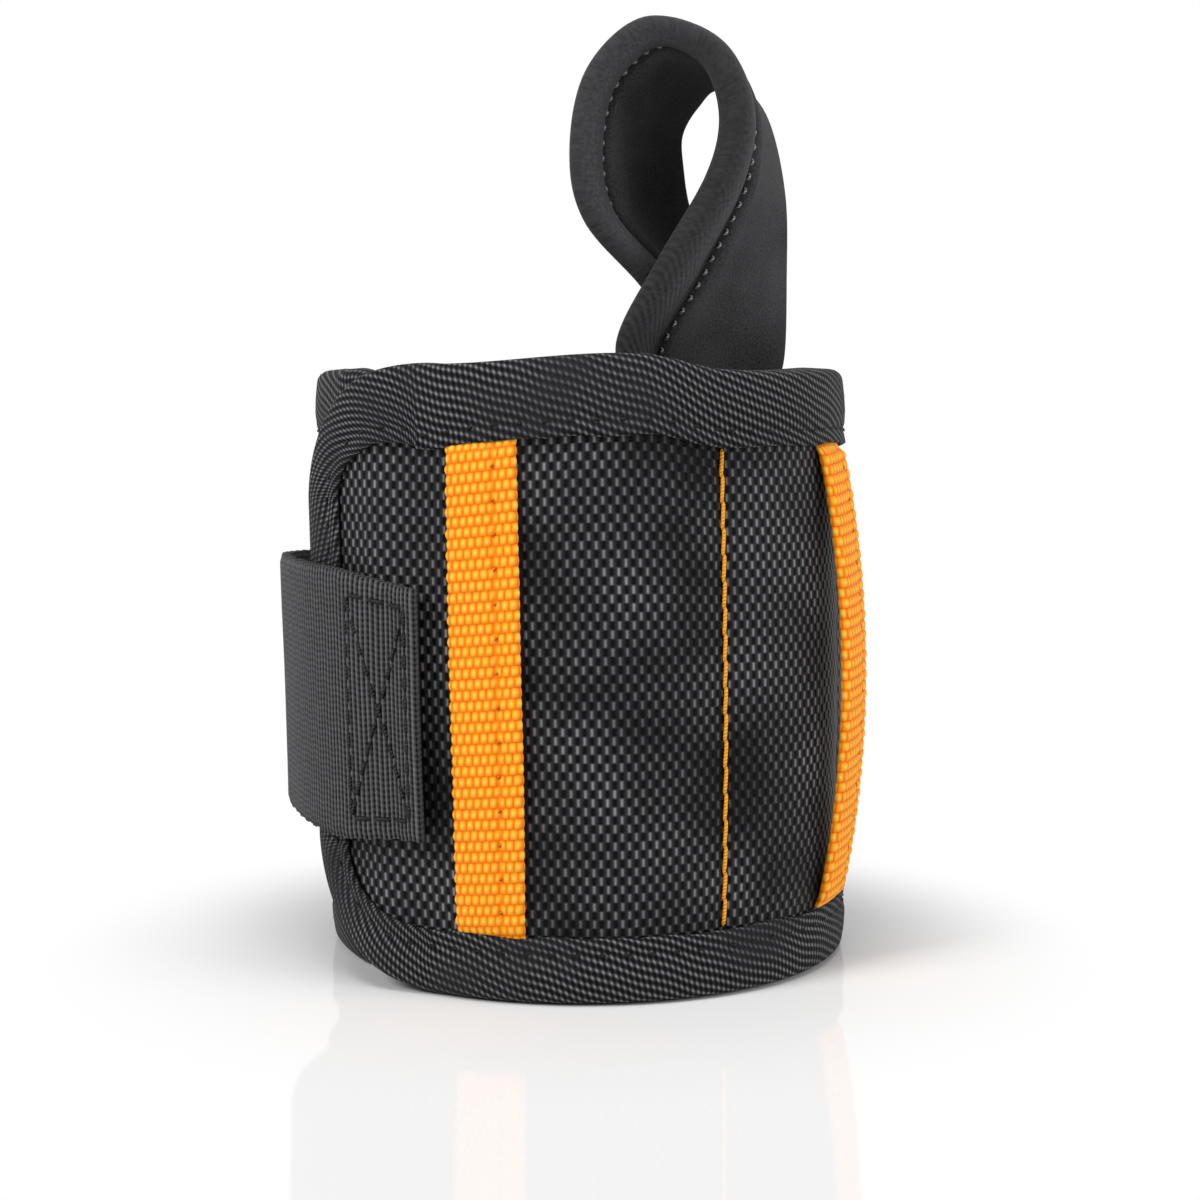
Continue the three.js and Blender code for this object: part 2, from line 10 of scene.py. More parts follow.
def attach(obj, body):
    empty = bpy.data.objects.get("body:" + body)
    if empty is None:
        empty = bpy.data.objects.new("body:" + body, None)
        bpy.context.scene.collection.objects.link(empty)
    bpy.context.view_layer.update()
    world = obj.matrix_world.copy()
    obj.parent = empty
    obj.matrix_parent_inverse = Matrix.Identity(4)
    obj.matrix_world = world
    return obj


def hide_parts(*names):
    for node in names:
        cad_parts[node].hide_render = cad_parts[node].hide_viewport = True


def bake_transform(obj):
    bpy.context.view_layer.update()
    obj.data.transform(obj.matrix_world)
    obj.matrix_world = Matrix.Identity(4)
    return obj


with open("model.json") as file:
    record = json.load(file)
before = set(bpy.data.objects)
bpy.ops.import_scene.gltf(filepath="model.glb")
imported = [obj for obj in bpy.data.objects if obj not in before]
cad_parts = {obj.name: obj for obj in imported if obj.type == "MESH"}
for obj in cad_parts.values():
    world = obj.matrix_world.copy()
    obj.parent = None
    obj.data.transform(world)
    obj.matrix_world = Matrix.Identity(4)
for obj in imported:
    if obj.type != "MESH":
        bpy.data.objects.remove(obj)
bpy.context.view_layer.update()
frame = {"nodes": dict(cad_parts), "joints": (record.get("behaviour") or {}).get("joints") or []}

# Padded band
# A quilted sleeve: woven nylon outside, foam and magnets in sewn pockets, knitted lining inside.
# It is cut and sewn flat, then bent round the wrist, so every piece follows a station, an angle round
# the wrist axis in degrees: 0 faces the viewer, 90 is to the right. Sizes are in millimetres.
MM = 0.001
BAND_HEIGHT = 89
SHELL_RADIUS = 40
PAD_STACK = 7.2  # shell, foam and lining together
FLAP_STACK = 4.2
END_STACK = 2.3
BARREL = 1.2  # how far the band swells halfway up
POCKET_PUFF = 1.0  # and between two seams
OUTER_END = -66
FLAP_FOLD = -29
FIRST_SEAM = -16
POCKET_PITCH = 45.5
LAST_SEAM = FIRST_SEAM + 5 * POCKET_PITCH
FRONT_SEAM = FIRST_SEAM + POCKET_PITCH
BACK_FOLD = FIRST_SEAM + 3 * POCKET_PITCH
REAR_SEAM = FIRST_SEAM + 4 * POCKET_PITCH
INNER_END = 314
THIN_END = 18  # degrees of unpadded cloth at either end
FLAP_RISE = 2.6  # where the ends overlap, the flap rises and the inner end dips
UNDER_DIP = 2.7
TIP_DIP = 1.4  # how much further the inner end dips at its tip, under the padded part of the flap
FOAM_END = 270
FLAP_TAPER = 8
HINGE_RADIUS = 42.4  # from the wrist axis to the line that the flap bends on
OUTER_CORNER = (24, 20, 1.7)  # along the band, up it, and how full its curve is: 2 is an ellipse
INNER_CORNER = (10.5, 10.5, 2)
LEAN = 1.4  # the soft ring stands a little askew: its top is this far to the left of its foot
FOOT_DRAW = 0.8  # and its foot is drawn in
LEFT_SAG = 1.2  # the soft rim sinks where the flap is bent
LEFT_DIP = (-50, -26, -24, 10)  # stations where that begins, is full, still is full, and ends
RIGHT_SAG = 1.8  # beside the loop
RIGHT_DIP = (12, 31, 35, 80)
INNER_SAG = 0.7  # and at the inner end
INNER_DIP = (278, 298)
SEAM_SINK = 0.45  # how deep a seam pulls the shell in, and how far to either side
SEAM_REACH = 1.3
PUCKER = 0.12  # the small hollows along a seam
PUCKER_REACH = 4
PUCKER_PITCH = 9.3
SLACK = 0.35  # how far the cloth wanders between seams
SLACK_FOLDS = (0.045, 0.03)  # its folds for each degree along the band, and for each millimetre up it
CLOTH_INSET = 1.2  # the cloth stops this far inside the fold of its binding
DEGREES_PER_MM = 1 / (SHELL_RADIUS * math.radians(1))

fold = next(joint for joint in frame["joints"] if joint["name"] == "flap_fold")["pos_m"]
wrist_x = fold[0] - HINGE_RADIUS * MM * math.sin(math.radians(FLAP_FOLD))
wrist_y = fold[1] + HINGE_RADIUS * MM * math.cos(math.radians(FLAP_FOLD))


def ease(low, high, x):
    """A smooth step, from 0 at one value to 1 at another."""
    t = min(1, max(0, (x - low) / (high - low)))
    return t * t * (3 - 2 * t)


def rim_sag(station):
    """How far the soft rim sinks."""
    sag = INNER_SAG * ease(*INNER_DIP, station)
    for depth, (begin, full, leave, end) in ((LEFT_SAG, LEFT_DIP), (RIGHT_SAG, RIGHT_DIP)):
        sag += depth * ease(begin, full, station) * ease(end, leave, station)
    return sag


def at(station, radius, height):
    """The point at a station, a distance from the wrist axis and a height, on a ring that leans and sags."""
    turn = math.radians(station)
    lean = LEAN * (0.5 - height / BAND_HEIGHT)
    radius -= FOOT_DRAW * (1 - height / BAND_HEIGHT)
    x = wrist_x + (radius * math.sin(turn) + lean) * MM
    height -= rim_sag(station) * max(0, height / BAND_HEIGHT) ** 3
    return Vector((x, wrist_y - radius * MM * math.cos(turn), height * MM))


def spread(low, high, steps):
    """Even steps from one value to another, both included."""
    return [low + (high - low) * i / steps for i in range(steps + 1)]


def padding(station):
    """1 where the sleeve is filled with foam, 0 at its two thin ends."""
    outer = ease(OUTER_END + THIN_END, OUTER_END + THIN_END + FLAP_TAPER, station)
    return outer * ease(INNER_END - THIN_END, FOAM_END, station)


def end_shift(station):
    """How far the flap rises and the inner end dips where they overlap."""
    rise = FLAP_RISE * ease(FLAP_FOLD, OUTER_END + THIN_END, station)
    tip = TIP_DIP * ease(INNER_END - THIN_END, INNER_END - THIN_END / 2, station)
    return rise - tip - UNDER_DIP * ease(FOAM_END - THIN_END, INNER_END - THIN_END, station)


def shell_radius(station, height):
    """Outer face of the shell, swollen in the middle and between two pocket seams."""
    middle = max(0, 1 - (2 * height / BAND_HEIGHT - 1) ** 2)
    puff = 0
    if FIRST_SEAM < station < LAST_SEAM:
        puff = POCKET_PUFF * math.sin(math.pi * (station - FIRST_SEAM) / POCKET_PITCH) ** 2
    return SHELL_RADIUS + end_shift(station) + middle * (BARREL * padding(station) + puff)


def lining_radius(station):
    """Inner face of the sleeve, behind the foam."""
    flap = PAD_STACK + (FLAP_STACK - PAD_STACK) * ease(FLAP_FOLD, FLAP_FOLD - FLAP_TAPER, station)
    return SHELL_RADIUS + end_shift(station) - END_STACK - (flap - END_STACK) * padding(station)


def corner_trim(station):
    """How far the rounded corners take the cloth's edge in from the rim."""
    outer = OUTER_CORNER[0] - (station - OUTER_END) / DEGREES_PER_MM
    inner = INNER_CORNER[0] - (INNER_END - station) / DEGREES_PER_MM
    past, corner = (outer, OUTER_CORNER) if outer > 0 else (inner, INNER_CORNER)
    long, high, bow = corner[0] - 2 * CLOTH_INSET, corner[1] - 2 * CLOTH_INSET, corner[2]
    share = min(1, max(0, past / long))
    return CLOTH_INSET + high * (1 - (1 - share**bow) ** (1 / bow))


def pucker(station, height):
    """Small hollows that the stitching pulls along a seam, and the slack of the cloth between them."""
    depth = 0
    for seam in (FIRST_SEAM, FRONT_SEAM, FIRST_SEAM + 2 * POCKET_PITCH, BACK_FOLD, REAR_SEAM, LAST_SEAM):
        away = (station - seam) / DEGREES_PER_MM
        depth += SEAM_SINK * math.exp(-((away / SEAM_REACH) ** 2))
        gathers = 1 + math.sin(2 * math.pi * height / PUCKER_PITCH)
        depth += PUCKER * math.exp(-((away / PUCKER_REACH) ** 2)) * gathers
    folds = noise.noise(Vector((station * SLACK_FOLDS[0], height * SLACK_FOLDS[1], 2.7)))
    return SLACK * folds * padding(station) - depth


def linear(hex_colour):
    """The linear colour of an sRGB hex value."""
    parts = [int(hex_colour[i : i + 2], 16) / 255 for i in (1, 3, 5)]
    return [c / 12.92 if c <= 0.04045 else ((c + 0.055) / 1.055) ** 2.4 for c in parts] + [1]


def add_node(tree, kind, inputs, **settings):
    """Adds a shader node with its settings, and links or sets its inputs."""
    made = tree.nodes.new("ShaderNode" + kind)
    for name, value in settings.items():
        setattr(made, name, value)
    for socket, value in inputs.items():
        if isinstance(value, bpy.types.NodeSocket):
            tree.links.new(value, made.inputs[socket])
        else:
            made.inputs[socket].default_value = value
    return made


def new_material(name):
    """An empty material, its tree, and the thread coordinates in millimetres: along, across."""
    material = bpy.data.materials.new(name)
    material.use_nodes = True
    tree = material.node_tree
    tree.nodes.clear()
    threads = add_node(tree, "Attribute", {}, attribute_name="threads")
    place = add_node(tree, "SeparateXYZ", {"Vector": threads.outputs["Vector"]})
    return material, tree, threads.outputs["Vector"], place.outputs["X"], place.outputs["Y"]


def finish_material(tree, inputs, height, distance):
    """Puts the surface together: a principled shader whose bump has a height and a depth in millimetres."""
    bump = add_node(tree, "Bump", {"Height": height, "Distance": distance * MM, "Strength": 1.0})
    surface = add_node(tree, "BsdfPrincipled", {**inputs, "Normal": bump.outputs["Normal"]})
    add_node(tree, "OutputMaterial", {"Surface": surface.outputs["BSDF"]})


# Ballistic nylon, a plain weave of thick flat yarns. The upright yarns are painted with short bright dashes,
# staggered from column to column, as painted glints; the hollows between them are painted dark, as shade.
WARP_PITCH = 0.95
WEFT_PITCH = 1.2
PAINTED_SHEEN_PATCH = 20  # size of the patches of painted sheen, where the yarns and their dashes are drawn lighter as if the light caught them
ballistic_nylon, tree, threads, along, across = new_material("ballistic_nylon")
columns = add_node(tree, "Math", {0: along, 1: math.pi / WARP_PITCH}, operation="MULTIPLY")
columns = add_node(tree, "Math", {0: columns.outputs[0]}, operation="SINE")
rows = add_node(tree, "Math", {0: across, 1: math.pi / WEFT_PITCH}, operation="MULTIPLY")
rows = add_node(tree, "Math", {0: rows.outputs[0]}, operation="SINE")
turned = add_node(tree, "Math", {0: columns.outputs[0]}, operation="SIGN")
phase = add_node(tree, "Math", {0: turned.outputs[0], 1: rows.outputs[0]}, operation="MULTIPLY")
width = add_node(tree, "Math", {0: columns.outputs[0]}, operation="ABSOLUTE")
narrow = add_node(tree, "Math", {0: width.outputs[0], 1: 4.0}, operation="POWER")
float_up = add_node(tree, "MapRange", {"Value": phase.outputs[0], "From Min": -0.2, "From Max": 0.5},
                    interpolation_type="SMOOTHSTEP")
dash = add_node(tree, "Math", {0: narrow.outputs[0], 1: float_up.outputs[0]}, operation="MULTIPLY")
float_down = add_node(tree, "MapRange", {"Value": phase.outputs[0], "From Min": 0.1, "From Max": -0.6},
                      interpolation_type="SMOOTHSTEP")
# painted shade: the hollows between the yarns are darkened in the colour, and also sunk in the bump
shaded_hollow = add_node(tree, "Math", {0: width.outputs[0], 1: float_down.outputs[0]}, operation="MULTIPLY")
# painted sheen: noise patches lighten the yarns and their dashes where the light would catch them
patches = add_node(tree, "TexNoise", {"Vector": threads, "Scale": 1 / PAINTED_SHEEN_PATCH, "Detail": 2.0})
painted_sheen = add_node(tree, "MapRange", {"Value": patches.outputs["Fac"], "From Min": 0.36, "From Max": 0.62})
yarns = {"Factor": painted_sheen.outputs[0], "A": linear("#19191b"), "B": linear("#303032")}
yarns = add_node(tree, "Mix", yarns, data_type="RGBA")
ground = {"Factor": shaded_hollow.outputs[0], "A": yarns.outputs["Result"], "B": linear("#080809")}
ground = add_node(tree, "Mix", ground, data_type="RGBA")
# painted glints: the bright dashes on the upright yarns
painted_glint = add_node(tree, "Math", {0: painted_sheen.outputs[0], 1: 0.7, 2: 0.15}, operation="MULTIPLY_ADD")
painted_glint = add_node(tree, "Math", {0: dash.outputs[0], 1: painted_glint.outputs[0]}, operation="MULTIPLY")
cloth = {"Factor": painted_glint.outputs[0], "A": ground.outputs["Result"], "B": linear("#98989b")}
cloth = add_node(tree, "Mix", cloth, data_type="RGBA")
relief = add_node(tree, "Math", {0: shaded_hollow.outputs[0], 1: -0.6, 2: dash.outputs[0]}, operation="MULTIPLY_ADD")
sheen = {"Sheen Weight": 0.02, "Sheen Roughness": 0.4}
surface = {"Base Color": cloth.outputs["Result"], "Roughness": 0.45, "Specular IOR Level": 0.05, **sheen}
finish_material(tree, surface, relief.outputs[0], 0.22)

# Spacer mesh, a knitted lining with rows of small round holes that let the wrist breathe.
HOLE_PITCH = 2.0
spacer_mesh, tree, threads, _, _ = new_material("spacer_mesh")
holes = add_node(tree, "TexVoronoi", {"Vector": threads, "Scale": 1 / HOLE_PITCH, "Randomness": 0.15})
edge = add_node(tree, "MapRange", {"Value": holes.outputs["Distance"], "From Min": 0.18, "From Max": 0.34})
knit = add_node(tree, "ValToRGB", {"Fac": edge.outputs[0]})
knit.color_ramp.elements[0].color = linear("#0b0b0c")
knit.color_ramp.elements[1].color = linear("#2c2c2e")
surface = {"Base Color": knit.outputs["Color"], "Roughness": 0.85, "Specular IOR Level": 0.1}
finish_material(tree, surface, edge.outputs[0], 0.4)


def turn_outward(mesh):
    """Points the faces out of a closed mesh."""
    volume = 0
    for face in mesh.polygons:
        first, *rest = [mesh.vertices[i].co for i in face.vertices]
        for b, c in zip(rest, rest[1:]):
            volume += first.dot(b.cross(c))
    if volume < 0:
        mesh.flip_normals()


def cloth_piece(name, points, faces, marks, material):
    """A smooth closed mesh. Each point also gets its place on the cloth, along and across its threads."""
    mesh = bpy.data.meshes.new(name)
    mesh.from_pydata([tuple(point) for point in points], [], faces)
    layer = mesh.attributes.new("threads", "FLOAT_VECTOR", "POINT")
    layer.data.foreach_set("vector", [value for u, v in marks for value in (u, v, 0.0)])
    mesh.materials.append(material)
    mesh.shade_smooth()
    turn_outward(mesh)
    piece = bpy.data.objects.new(name, mesh)
    bpy.context.scene.collection.objects.link(piece)
    return piece


def sew(name, sections, threads, material):
    """A piece through rows of points, each row a closed outline."""
    count = len(sections[0])
    faces = []
    for row in range(len(sections) - 1):
        for i in range(count):
            a = row * count + i
            b = row * count + (i + 1) % count
            faces.append((a, b, b + count, a + count))
    faces.append(tuple(reversed(range(count))))
    faces.append(tuple(range((len(sections) - 1) * count, len(sections) * count)))
    points = [point for row in sections for point in row]
    marks = [mark for row in threads for mark in row]
    return cloth_piece(name, points, faces, marks, material)


SEAM_GAP = 0.12 * DEGREES_PER_MM
TIP_GAP = 0.05  # degrees
FLAP_BEND = (-35, -28.5)  # the stations that a bend begins and ends at
BACK_BEND = (119.6, 127)


def pad(name, first, last, steps):
    """One length of the sleeve, shell outside and lining inside, closed under its bindings."""
    outer_rows, inner_rows = 44, 12
    sections, threads = [], []
    for station in spread(first, last, steps):
        trim = corner_trim(station)
        up = spread(trim, BAND_HEIGHT - trim, outer_rows)
        down = spread(BAND_HEIGHT - trim, trim, inner_rows)
        outer = [at(station, shell_radius(station, z) + pucker(station, z), z) for z in up]
        inner = [at(station, lining_radius(station), z) for z in down]
        along = station / DEGREES_PER_MM
        sections.append(outer + inner)
        threads.append([(along, z) for z in up] + [(along, z) for z in down])
    piece = sew(name, sections, threads, ballistic_nylon)
    piece.data.materials.append(spacer_mesh)
    loop = outer_rows + inner_rows + 2
    for index, face in enumerate(piece.data.polygons):
        face.material_index = 1 if index < steps * loop and index % loop > outer_rows else 0
    return piece


flap_tip = OUTER_END + 2 * CLOTH_INSET * DEGREES_PER_MM
inner_tip = INNER_END - 2 * CLOTH_INSET * DEGREES_PER_MM
front_pad = pad("front_pad", flap_tip + TIP_GAP, FRONT_SEAM - SEAM_GAP, 110)
side_pad = pad("side_pad", FRONT_SEAM + SEAM_GAP, REAR_SEAM - SEAM_GAP, 130)
back_pad = pad("back_pad", REAR_SEAM + SEAM_GAP, inner_tip - TIP_GAP, 130)
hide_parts("front_shell", "front_foam", "front_lining", "flap_shell", "flap_foam", "flap_lining")
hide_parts("front_shell", "front_foam", "front_lining", "back_shell", "back_foam", "back_lining")
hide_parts("back_shell", "back_foam", "back_lining")


def bend_at_flap(piece):
    """A piece between the flap and the front of the band: bakes its transform into its mesh, without bending
    it.
    """
    start, end = (at(station, SHELL_RADIUS, BAND_HEIGHT / 2) for station in FLAP_BEND)
    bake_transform(piece)


def bend_at_back(piece):
    """A piece between the front of the band and its back: bakes its transform into its mesh, without bending
    it.
    """
    start, end = (at(station, SHELL_RADIUS, BAND_HEIGHT / 2) for station in BACK_BEND)
    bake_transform(piece)


bend_at_flap(front_pad)
bend_at_back(side_pad)
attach(back_pad, "back_band")

# Edge binding
# Bias-cut twill tape, folded over the raw edges of the sleeve and sewn through all layers.
# It turns the rounded corners of both ends with the cloth.
TOP_DEPTH = 11.5
BOTTOM_DEPTH = 9.5
FLAP_DEPTH = 1.3  # how much deeper the tape is where it comes to the flap's upper corner
DEEPENED = (-16, -32)  # the stations that it deepens between
TAPE = 0.9
FIT = 0.3
STITCH_INSET = 2.3  # from the tape's edge to its line of stitches
# The tape's outer face near its edge, which is sunk at the stitches: how far in from the edge, and how far up
# from the shell.
TAPE_EDGE = ((0, 0.25), (0.25, 0.85), (1.6, 0.65), (STITCH_INSET, 0.5), (3.2, 0.8))
TAPE_PLUMP = 0.14  # how far the tape swells between its stitches and the rim
TAPE_CROWN = (0.55, 0.36)  # and the shares of its depth where it does
TAPE_UNEVEN = 0.1
TAPE_WANDER = 0.5  # how far its edge strays from a straight line
WANDER_FOLDS = (0.11, 0.05)  # and how often, for each degree along the band and each millimetre up it
RIM_ROUND = 1.5
RIM_CROWN = 0.25  # how far the middle of the rim stands above its two rounded edges
INNER_ROUND = 1.2  # length of the rounding at the tape's inner edge
INNER_EDGE = 0.25  # and its thickness there
TAPE_GAP = 0.01 * DEGREES_PER_MM
CORNER_GAP = 0.6
CORNER_PINCH = 0.1  # share of its depth that the tape loses halfway round a corner

# Cotton tape on the bias: a slanting lattice of yarns with small holes, matt. In patches of painted light the
# lattice shows bright yarn tops and shaded holes; elsewhere the tape is plain dark grey.
HOLE_STEP = 0.78
HOLE_ROW = 1.2
ROW_SLANT = 0.36  # how far a row of holes falls for each millimetre along the tape
STEP_SLANT = 0.2  # and how far a hole stands to the side of the one below it, for each millimetre up
LIT_PATCHES = 0.06  # patches of painted light, to the millimetre
twill, tree, threads, along, across = new_material("bias_cotton_tape")
lean = add_node(tree, "Math", {0: along, 1: -ROW_SLANT, 2: across}, operation="MULTIPLY_ADD")
rows = add_node(tree, "Math", {0: lean.outputs[0], 1: 2 * math.pi / HOLE_ROW}, operation="MULTIPLY")
rows = add_node(tree, "Math", {0: rows.outputs[0]}, operation="SINE")
cells = add_node(tree, "Math", {0: across, 1: -STEP_SLANT, 2: along}, operation="MULTIPLY_ADD")
cells = add_node(tree, "Math", {0: cells.outputs[0], 1: 2 * math.pi / HOLE_STEP}, operation="MULTIPLY")
cells = add_node(tree, "Math", {0: cells.outputs[0]}, operation="SINE")
relief = add_node(tree, "Math", {0: cells.outputs[0], 1: 0.75, 2: rows.outputs[0]}, operation="MULTIPLY_ADD")
tone = add_node(tree, "MapRange", {"Value": relief.outputs[0], "From Min": -1.75, "From Max": 1.75})
# the lattice's tones are painted light and shade: lit yarn tops, shaded holes
yarns = add_node(tree, "ValToRGB", {"Fac": tone.outputs[0]})
yarns.color_ramp.elements[0].color = linear("#09090a")
yarns.color_ramp.elements[1].color = linear("#868688")
for place, colour in ((0.3, "#131314"), (0.55, "#323234"), (0.8, "#565658")):
    yarns.color_ramp.elements.new(place).color = linear(colour)
# painted light: noise patches where the lattice shows as if lit, flat dark grey elsewhere
patches = add_node(tree, "TexNoise", {"Vector": threads, "Scale": LIT_PATCHES, "Detail": 3.0})
painted_bloom = add_node(tree, "MapRange", {"Value": patches.outputs["Fac"], "From Min": 0.25, "From Max": 0.55})
cloth = {"Factor": painted_bloom.outputs[0], "A": linear("#2a2a2c"), "B": yarns.outputs["Color"]}
cloth = add_node(tree, "Mix", cloth, data_type="RGBA")
surface = {"Base Color": cloth.outputs["Result"], "Roughness": 0.7, "Specular IOR Level": 0.06, **sheen}
finish_material(tree, surface, relief.outputs[0], 0.07)


def tape_depth(station, side):
    """How far the tape reaches in from the upper or lower rim."""
    return TOP_DEPTH + FLAP_DEPTH * ease(*DEEPENED, station) if side > 0 else BOTTOM_DEPTH


def edge_places(stations, side):
    """Places along the upper or lower rim: station, height, the way in from the edge, along the band and up
    it, and the tape's depth."""
    height = BAND_HEIGHT if side > 0 else 0
    return [(station, height, 0, -side, tape_depth(station, side)) for station in stations]


def corner_places(end, corner, inward, side):
    """Places round one corner, from the rim to the end."""
    long, high, bow = corner
    depth = tape_depth(end, side)
    places = []
    for turn in spread(0, math.pi / 2, 30):
        along = math.sin(turn) ** (2 / bow)
        up = max(0, math.cos(turn)) ** (2 / bow)
        way = Vector((math.sin(turn), math.cos(turn)))
        station = end + inward * long * (1 - along) * DEGREES_PER_MM
        height = (BAND_HEIGHT if side > 0 else 0) - side * high * (1 - up)
        width = (depth + (BOTTOM_DEPTH - depth) * way.x) * (1 - CORNER_PINCH * 2 * way.x * way.y)
        places.append((station, height, inward * way.x, -side * way.y, width))
    return places


def end_places(run, end, corner, inward):
    """Places along the upper rim, round the end of the band, and back along the lower rim."""
    upper = edge_places(run, 1) + corner_places(end, corner, inward, 1)
    lower = edge_places(run, -1) + corner_places(end, corner, inward, -1)
    return upper + lower[::-1]


def binding(name, places, length, way):
    """Tape folded over an edge: an outer face, a rounded fold over the rim, an inner face, and back inside.
    Its threads run on one way or the other from the length that the tape beside it has come to."""
    sections, threads = [], []
    before = None
    for station, height, in_station, in_height, depth in places:
        def face(inward, layer, lift):
            s = station + in_station * inward * DEGREES_PER_MM
            z = height + in_height * inward
            if layer == "shell":
                return at(s, shell_radius(s, z) + lift, z)
            return at(s, lining_radius(s) + lift, z)

        wave = noise.noise(Vector((station * WANDER_FOLDS[0], height * WANDER_FOLDS[1], 5.1)))
        reach = depth + TAPE_WANDER * wave
        plump = TAPE_PLUMP + TAPE_UNEVEN * wave
        outer = [(reach - inset, FIT + lift) for inset, lift in TAPE_EDGE]
        outer += [(reach * share, FIT + TAPE + plump) for share in TAPE_CROWN]
        top = shell_radius(station, height) + FIT + TAPE
        low = lining_radius(station) - FIT - TAPE
        rounding = min(RIM_ROUND, (top - low) / 2.2)
        row = [face(q, "shell", lift) for q, lift in outer]
        for turn in spread(0, math.pi / 2, 4):
            drop = rounding * (1 - math.cos(turn))
            row.append(face(RIM_CROWN + rounding * (1 - math.sin(turn)), "shell", FIT + TAPE - drop))
        row.append(at(station, (top + low) / 2, height))
        for turn in spread(math.pi / 2, 0, 4):
            drop = rounding * (1 - math.cos(turn))
            row.append(face(RIM_CROWN + rounding * (1 - math.sin(turn)), "lining", drop - FIT - TAPE))
        inner = [(reach * 0.5, -FIT - TAPE), (reach - INNER_ROUND, -FIT - TAPE)]
        inner += [(reach, -FIT - INNER_EDGE), (reach, -FIT), (reach * 0.5, -FIT), (CLOTH_INSET, -FIT)]
        row += [face(q, "lining", lift) for q, lift in inner]
        row += [face(CLOTH_INSET, "shell", FIT), face(reach * 0.5, "shell", FIT), face(reach, "shell", FIT)]
        middle = face(0, "shell", 0)
        length += way * (middle - before).length / MM if before else 0
        before = middle
        sections.append(row)
        widths = [-(row[i] - row[i - 1]).length / MM if i else 0 for i in range(len(row))]
        threads.append([(length, sum(widths[: i + 1])) for i in range(len(row))])
    piece = sew(name, sections, threads, twill)
    return piece, length


flap_corner = OUTER_END + OUTER_CORNER[0] * DEGREES_PER_MM
inner_corner = INNER_END - INNER_CORNER[0] * DEGREES_PER_MM
front_run = spread(FRONT_SEAM - TAPE_GAP, flap_corner + CORNER_GAP, 90)
front_edge = end_places(front_run, OUTER_END, OUTER_CORNER, 1)
front_binding, front_end = binding("front_binding", front_edge, 0, -1)
side_run = spread(FRONT_SEAM + TAPE_GAP, REAR_SEAM - TAPE_GAP, 110)
side_top_edge = edge_places(side_run, 1)
side_bottom_edge = edge_places(side_run, -1)
side_top_binding, top_end = binding("side_top_binding", side_top_edge, 0, 1)
side_bottom_binding, _ = binding("side_bottom_binding", side_bottom_edge, front_end, -1)
back_run = spread(REAR_SEAM + TAPE_GAP, inner_corner - CORNER_GAP, 90)
back_edge = end_places(back_run, INNER_END, INNER_CORNER, -1)
back_binding, _ = binding("back_binding", back_edge, top_end, 1)
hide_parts("front_top_binding", "front_bottom_binding", "flap_edge_binding")
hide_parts("front_top_binding", "back_top_binding")
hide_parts("front_bottom_binding", "back_bottom_binding")
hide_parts("back_top_binding", "back_bottom_binding", "inner_end_binding")
bend_at_flap(front_binding)
bend_at_back(side_top_binding)
bend_at_back(side_bottom_binding)
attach(back_binding, "back_band")

# Webbing strips
# Two lengths of orange nylon webbing lie over pocket seams. A line of stitches holds each one to the shell,
# and the bindings trap their ends. The one at the side bows off the band, so small tools hang from it.
STRIP_WIDTH = 9.9
STRIP = 1.4
BEAD_WIDTH = 1.08
BEAD_LENGTH = 1.49
LEFT_STRIP = -17.8
RIGHT_STRIP = 63.4
RIGHT_BOW = 3.1  # how far a strip stands off the shell halfway up
LEFT_BOW = 0.5
LEFT_BEND = 0.7  # how far the left strip bends sideways, to the right in its middle
STITCHED_SHARE = 0.68  # how far across the strip its stitch line runs
STRIP_END = 0.8  # how much of each end is under a binding
STRIP_GAP = 0.1
STRIP_SWAY = 0.25
SWAY_FOLDS = 0.05  # to the millimetre
FLAT_SHARE = 0.035  # share of its length that each end is pressed flat
PRESSED = 0.3  # share of its thickness that a pressed end keeps
BEAD_SWELL = 0.28
BEAD_BED = 0.25  # how deep the knots begin under the strip's full thickness
SCALLOP = 0.16  # how far the rows of knots stand out along the selvedges
SELVEDGE = 0.7
SELVEDGE_THIN = 0.45  # share of its thickness that the strip loses there
UNDER_INSET = 0.4  # the under face is this much narrower at either side
UNDER_DROP = 0.05  # and this much nearer to the shell
STITCH_GROOVE = 0.35
GROOVE_WIDTH = 0.6
POINTS_PER_BEAD = 7

# Nylon webbing with a beaded weave: plump knots in staggered rows that climb a little to one side. Each knot
# is painted pale in its middle and deep orange between knots and along the sunk line of stitches: painted
# highlight and shade.
ROW_CLIMB = 0.088  # for each millimetre across the strip
FIBRE_GRAIN = 1.1  # to the millimetre
orange_webbing, tree, threads, along, across = new_material("orange_nylon_webbing")
climb = add_node(tree, "Math", {0: along, 1: -ROW_CLIMB, 2: across}, operation="MULTIPLY_ADD")
rows = add_node(tree, "Math", {0: climb.outputs[0], 1: 1 / BEAD_LENGTH}, operation="MULTIPLY")
row = add_node(tree, "Math", {0: rows.outputs[0]}, operation="FLOOR")
half = add_node(tree, "Math", {0: row.outputs[0], 1: 0.5}, operation="MULTIPLY")
columns = add_node(tree, "Math", {0: along, 1: 1 / BEAD_WIDTH, 2: half.outputs[0]}, operation="MULTIPLY_ADD")
waves = []
for place in (columns, rows):
    wave = add_node(tree, "Math", {0: place.outputs[0], 1: math.pi}, operation="MULTIPLY")
    wave = add_node(tree, "Math", {0: wave.outputs[0]}, operation="SINE")
    waves.append(add_node(tree, "Math", {0: wave.outputs[0]}, operation="ABSOLUTE"))
knots = add_node(tree, "Math", {0: waves[0].outputs[0], 1: waves[1].outputs[0]}, operation="MULTIPLY")
fibres = add_node(tree, "TexNoise", {"Vector": threads, "Scale": FIBRE_GRAIN, "Detail": 3.0})
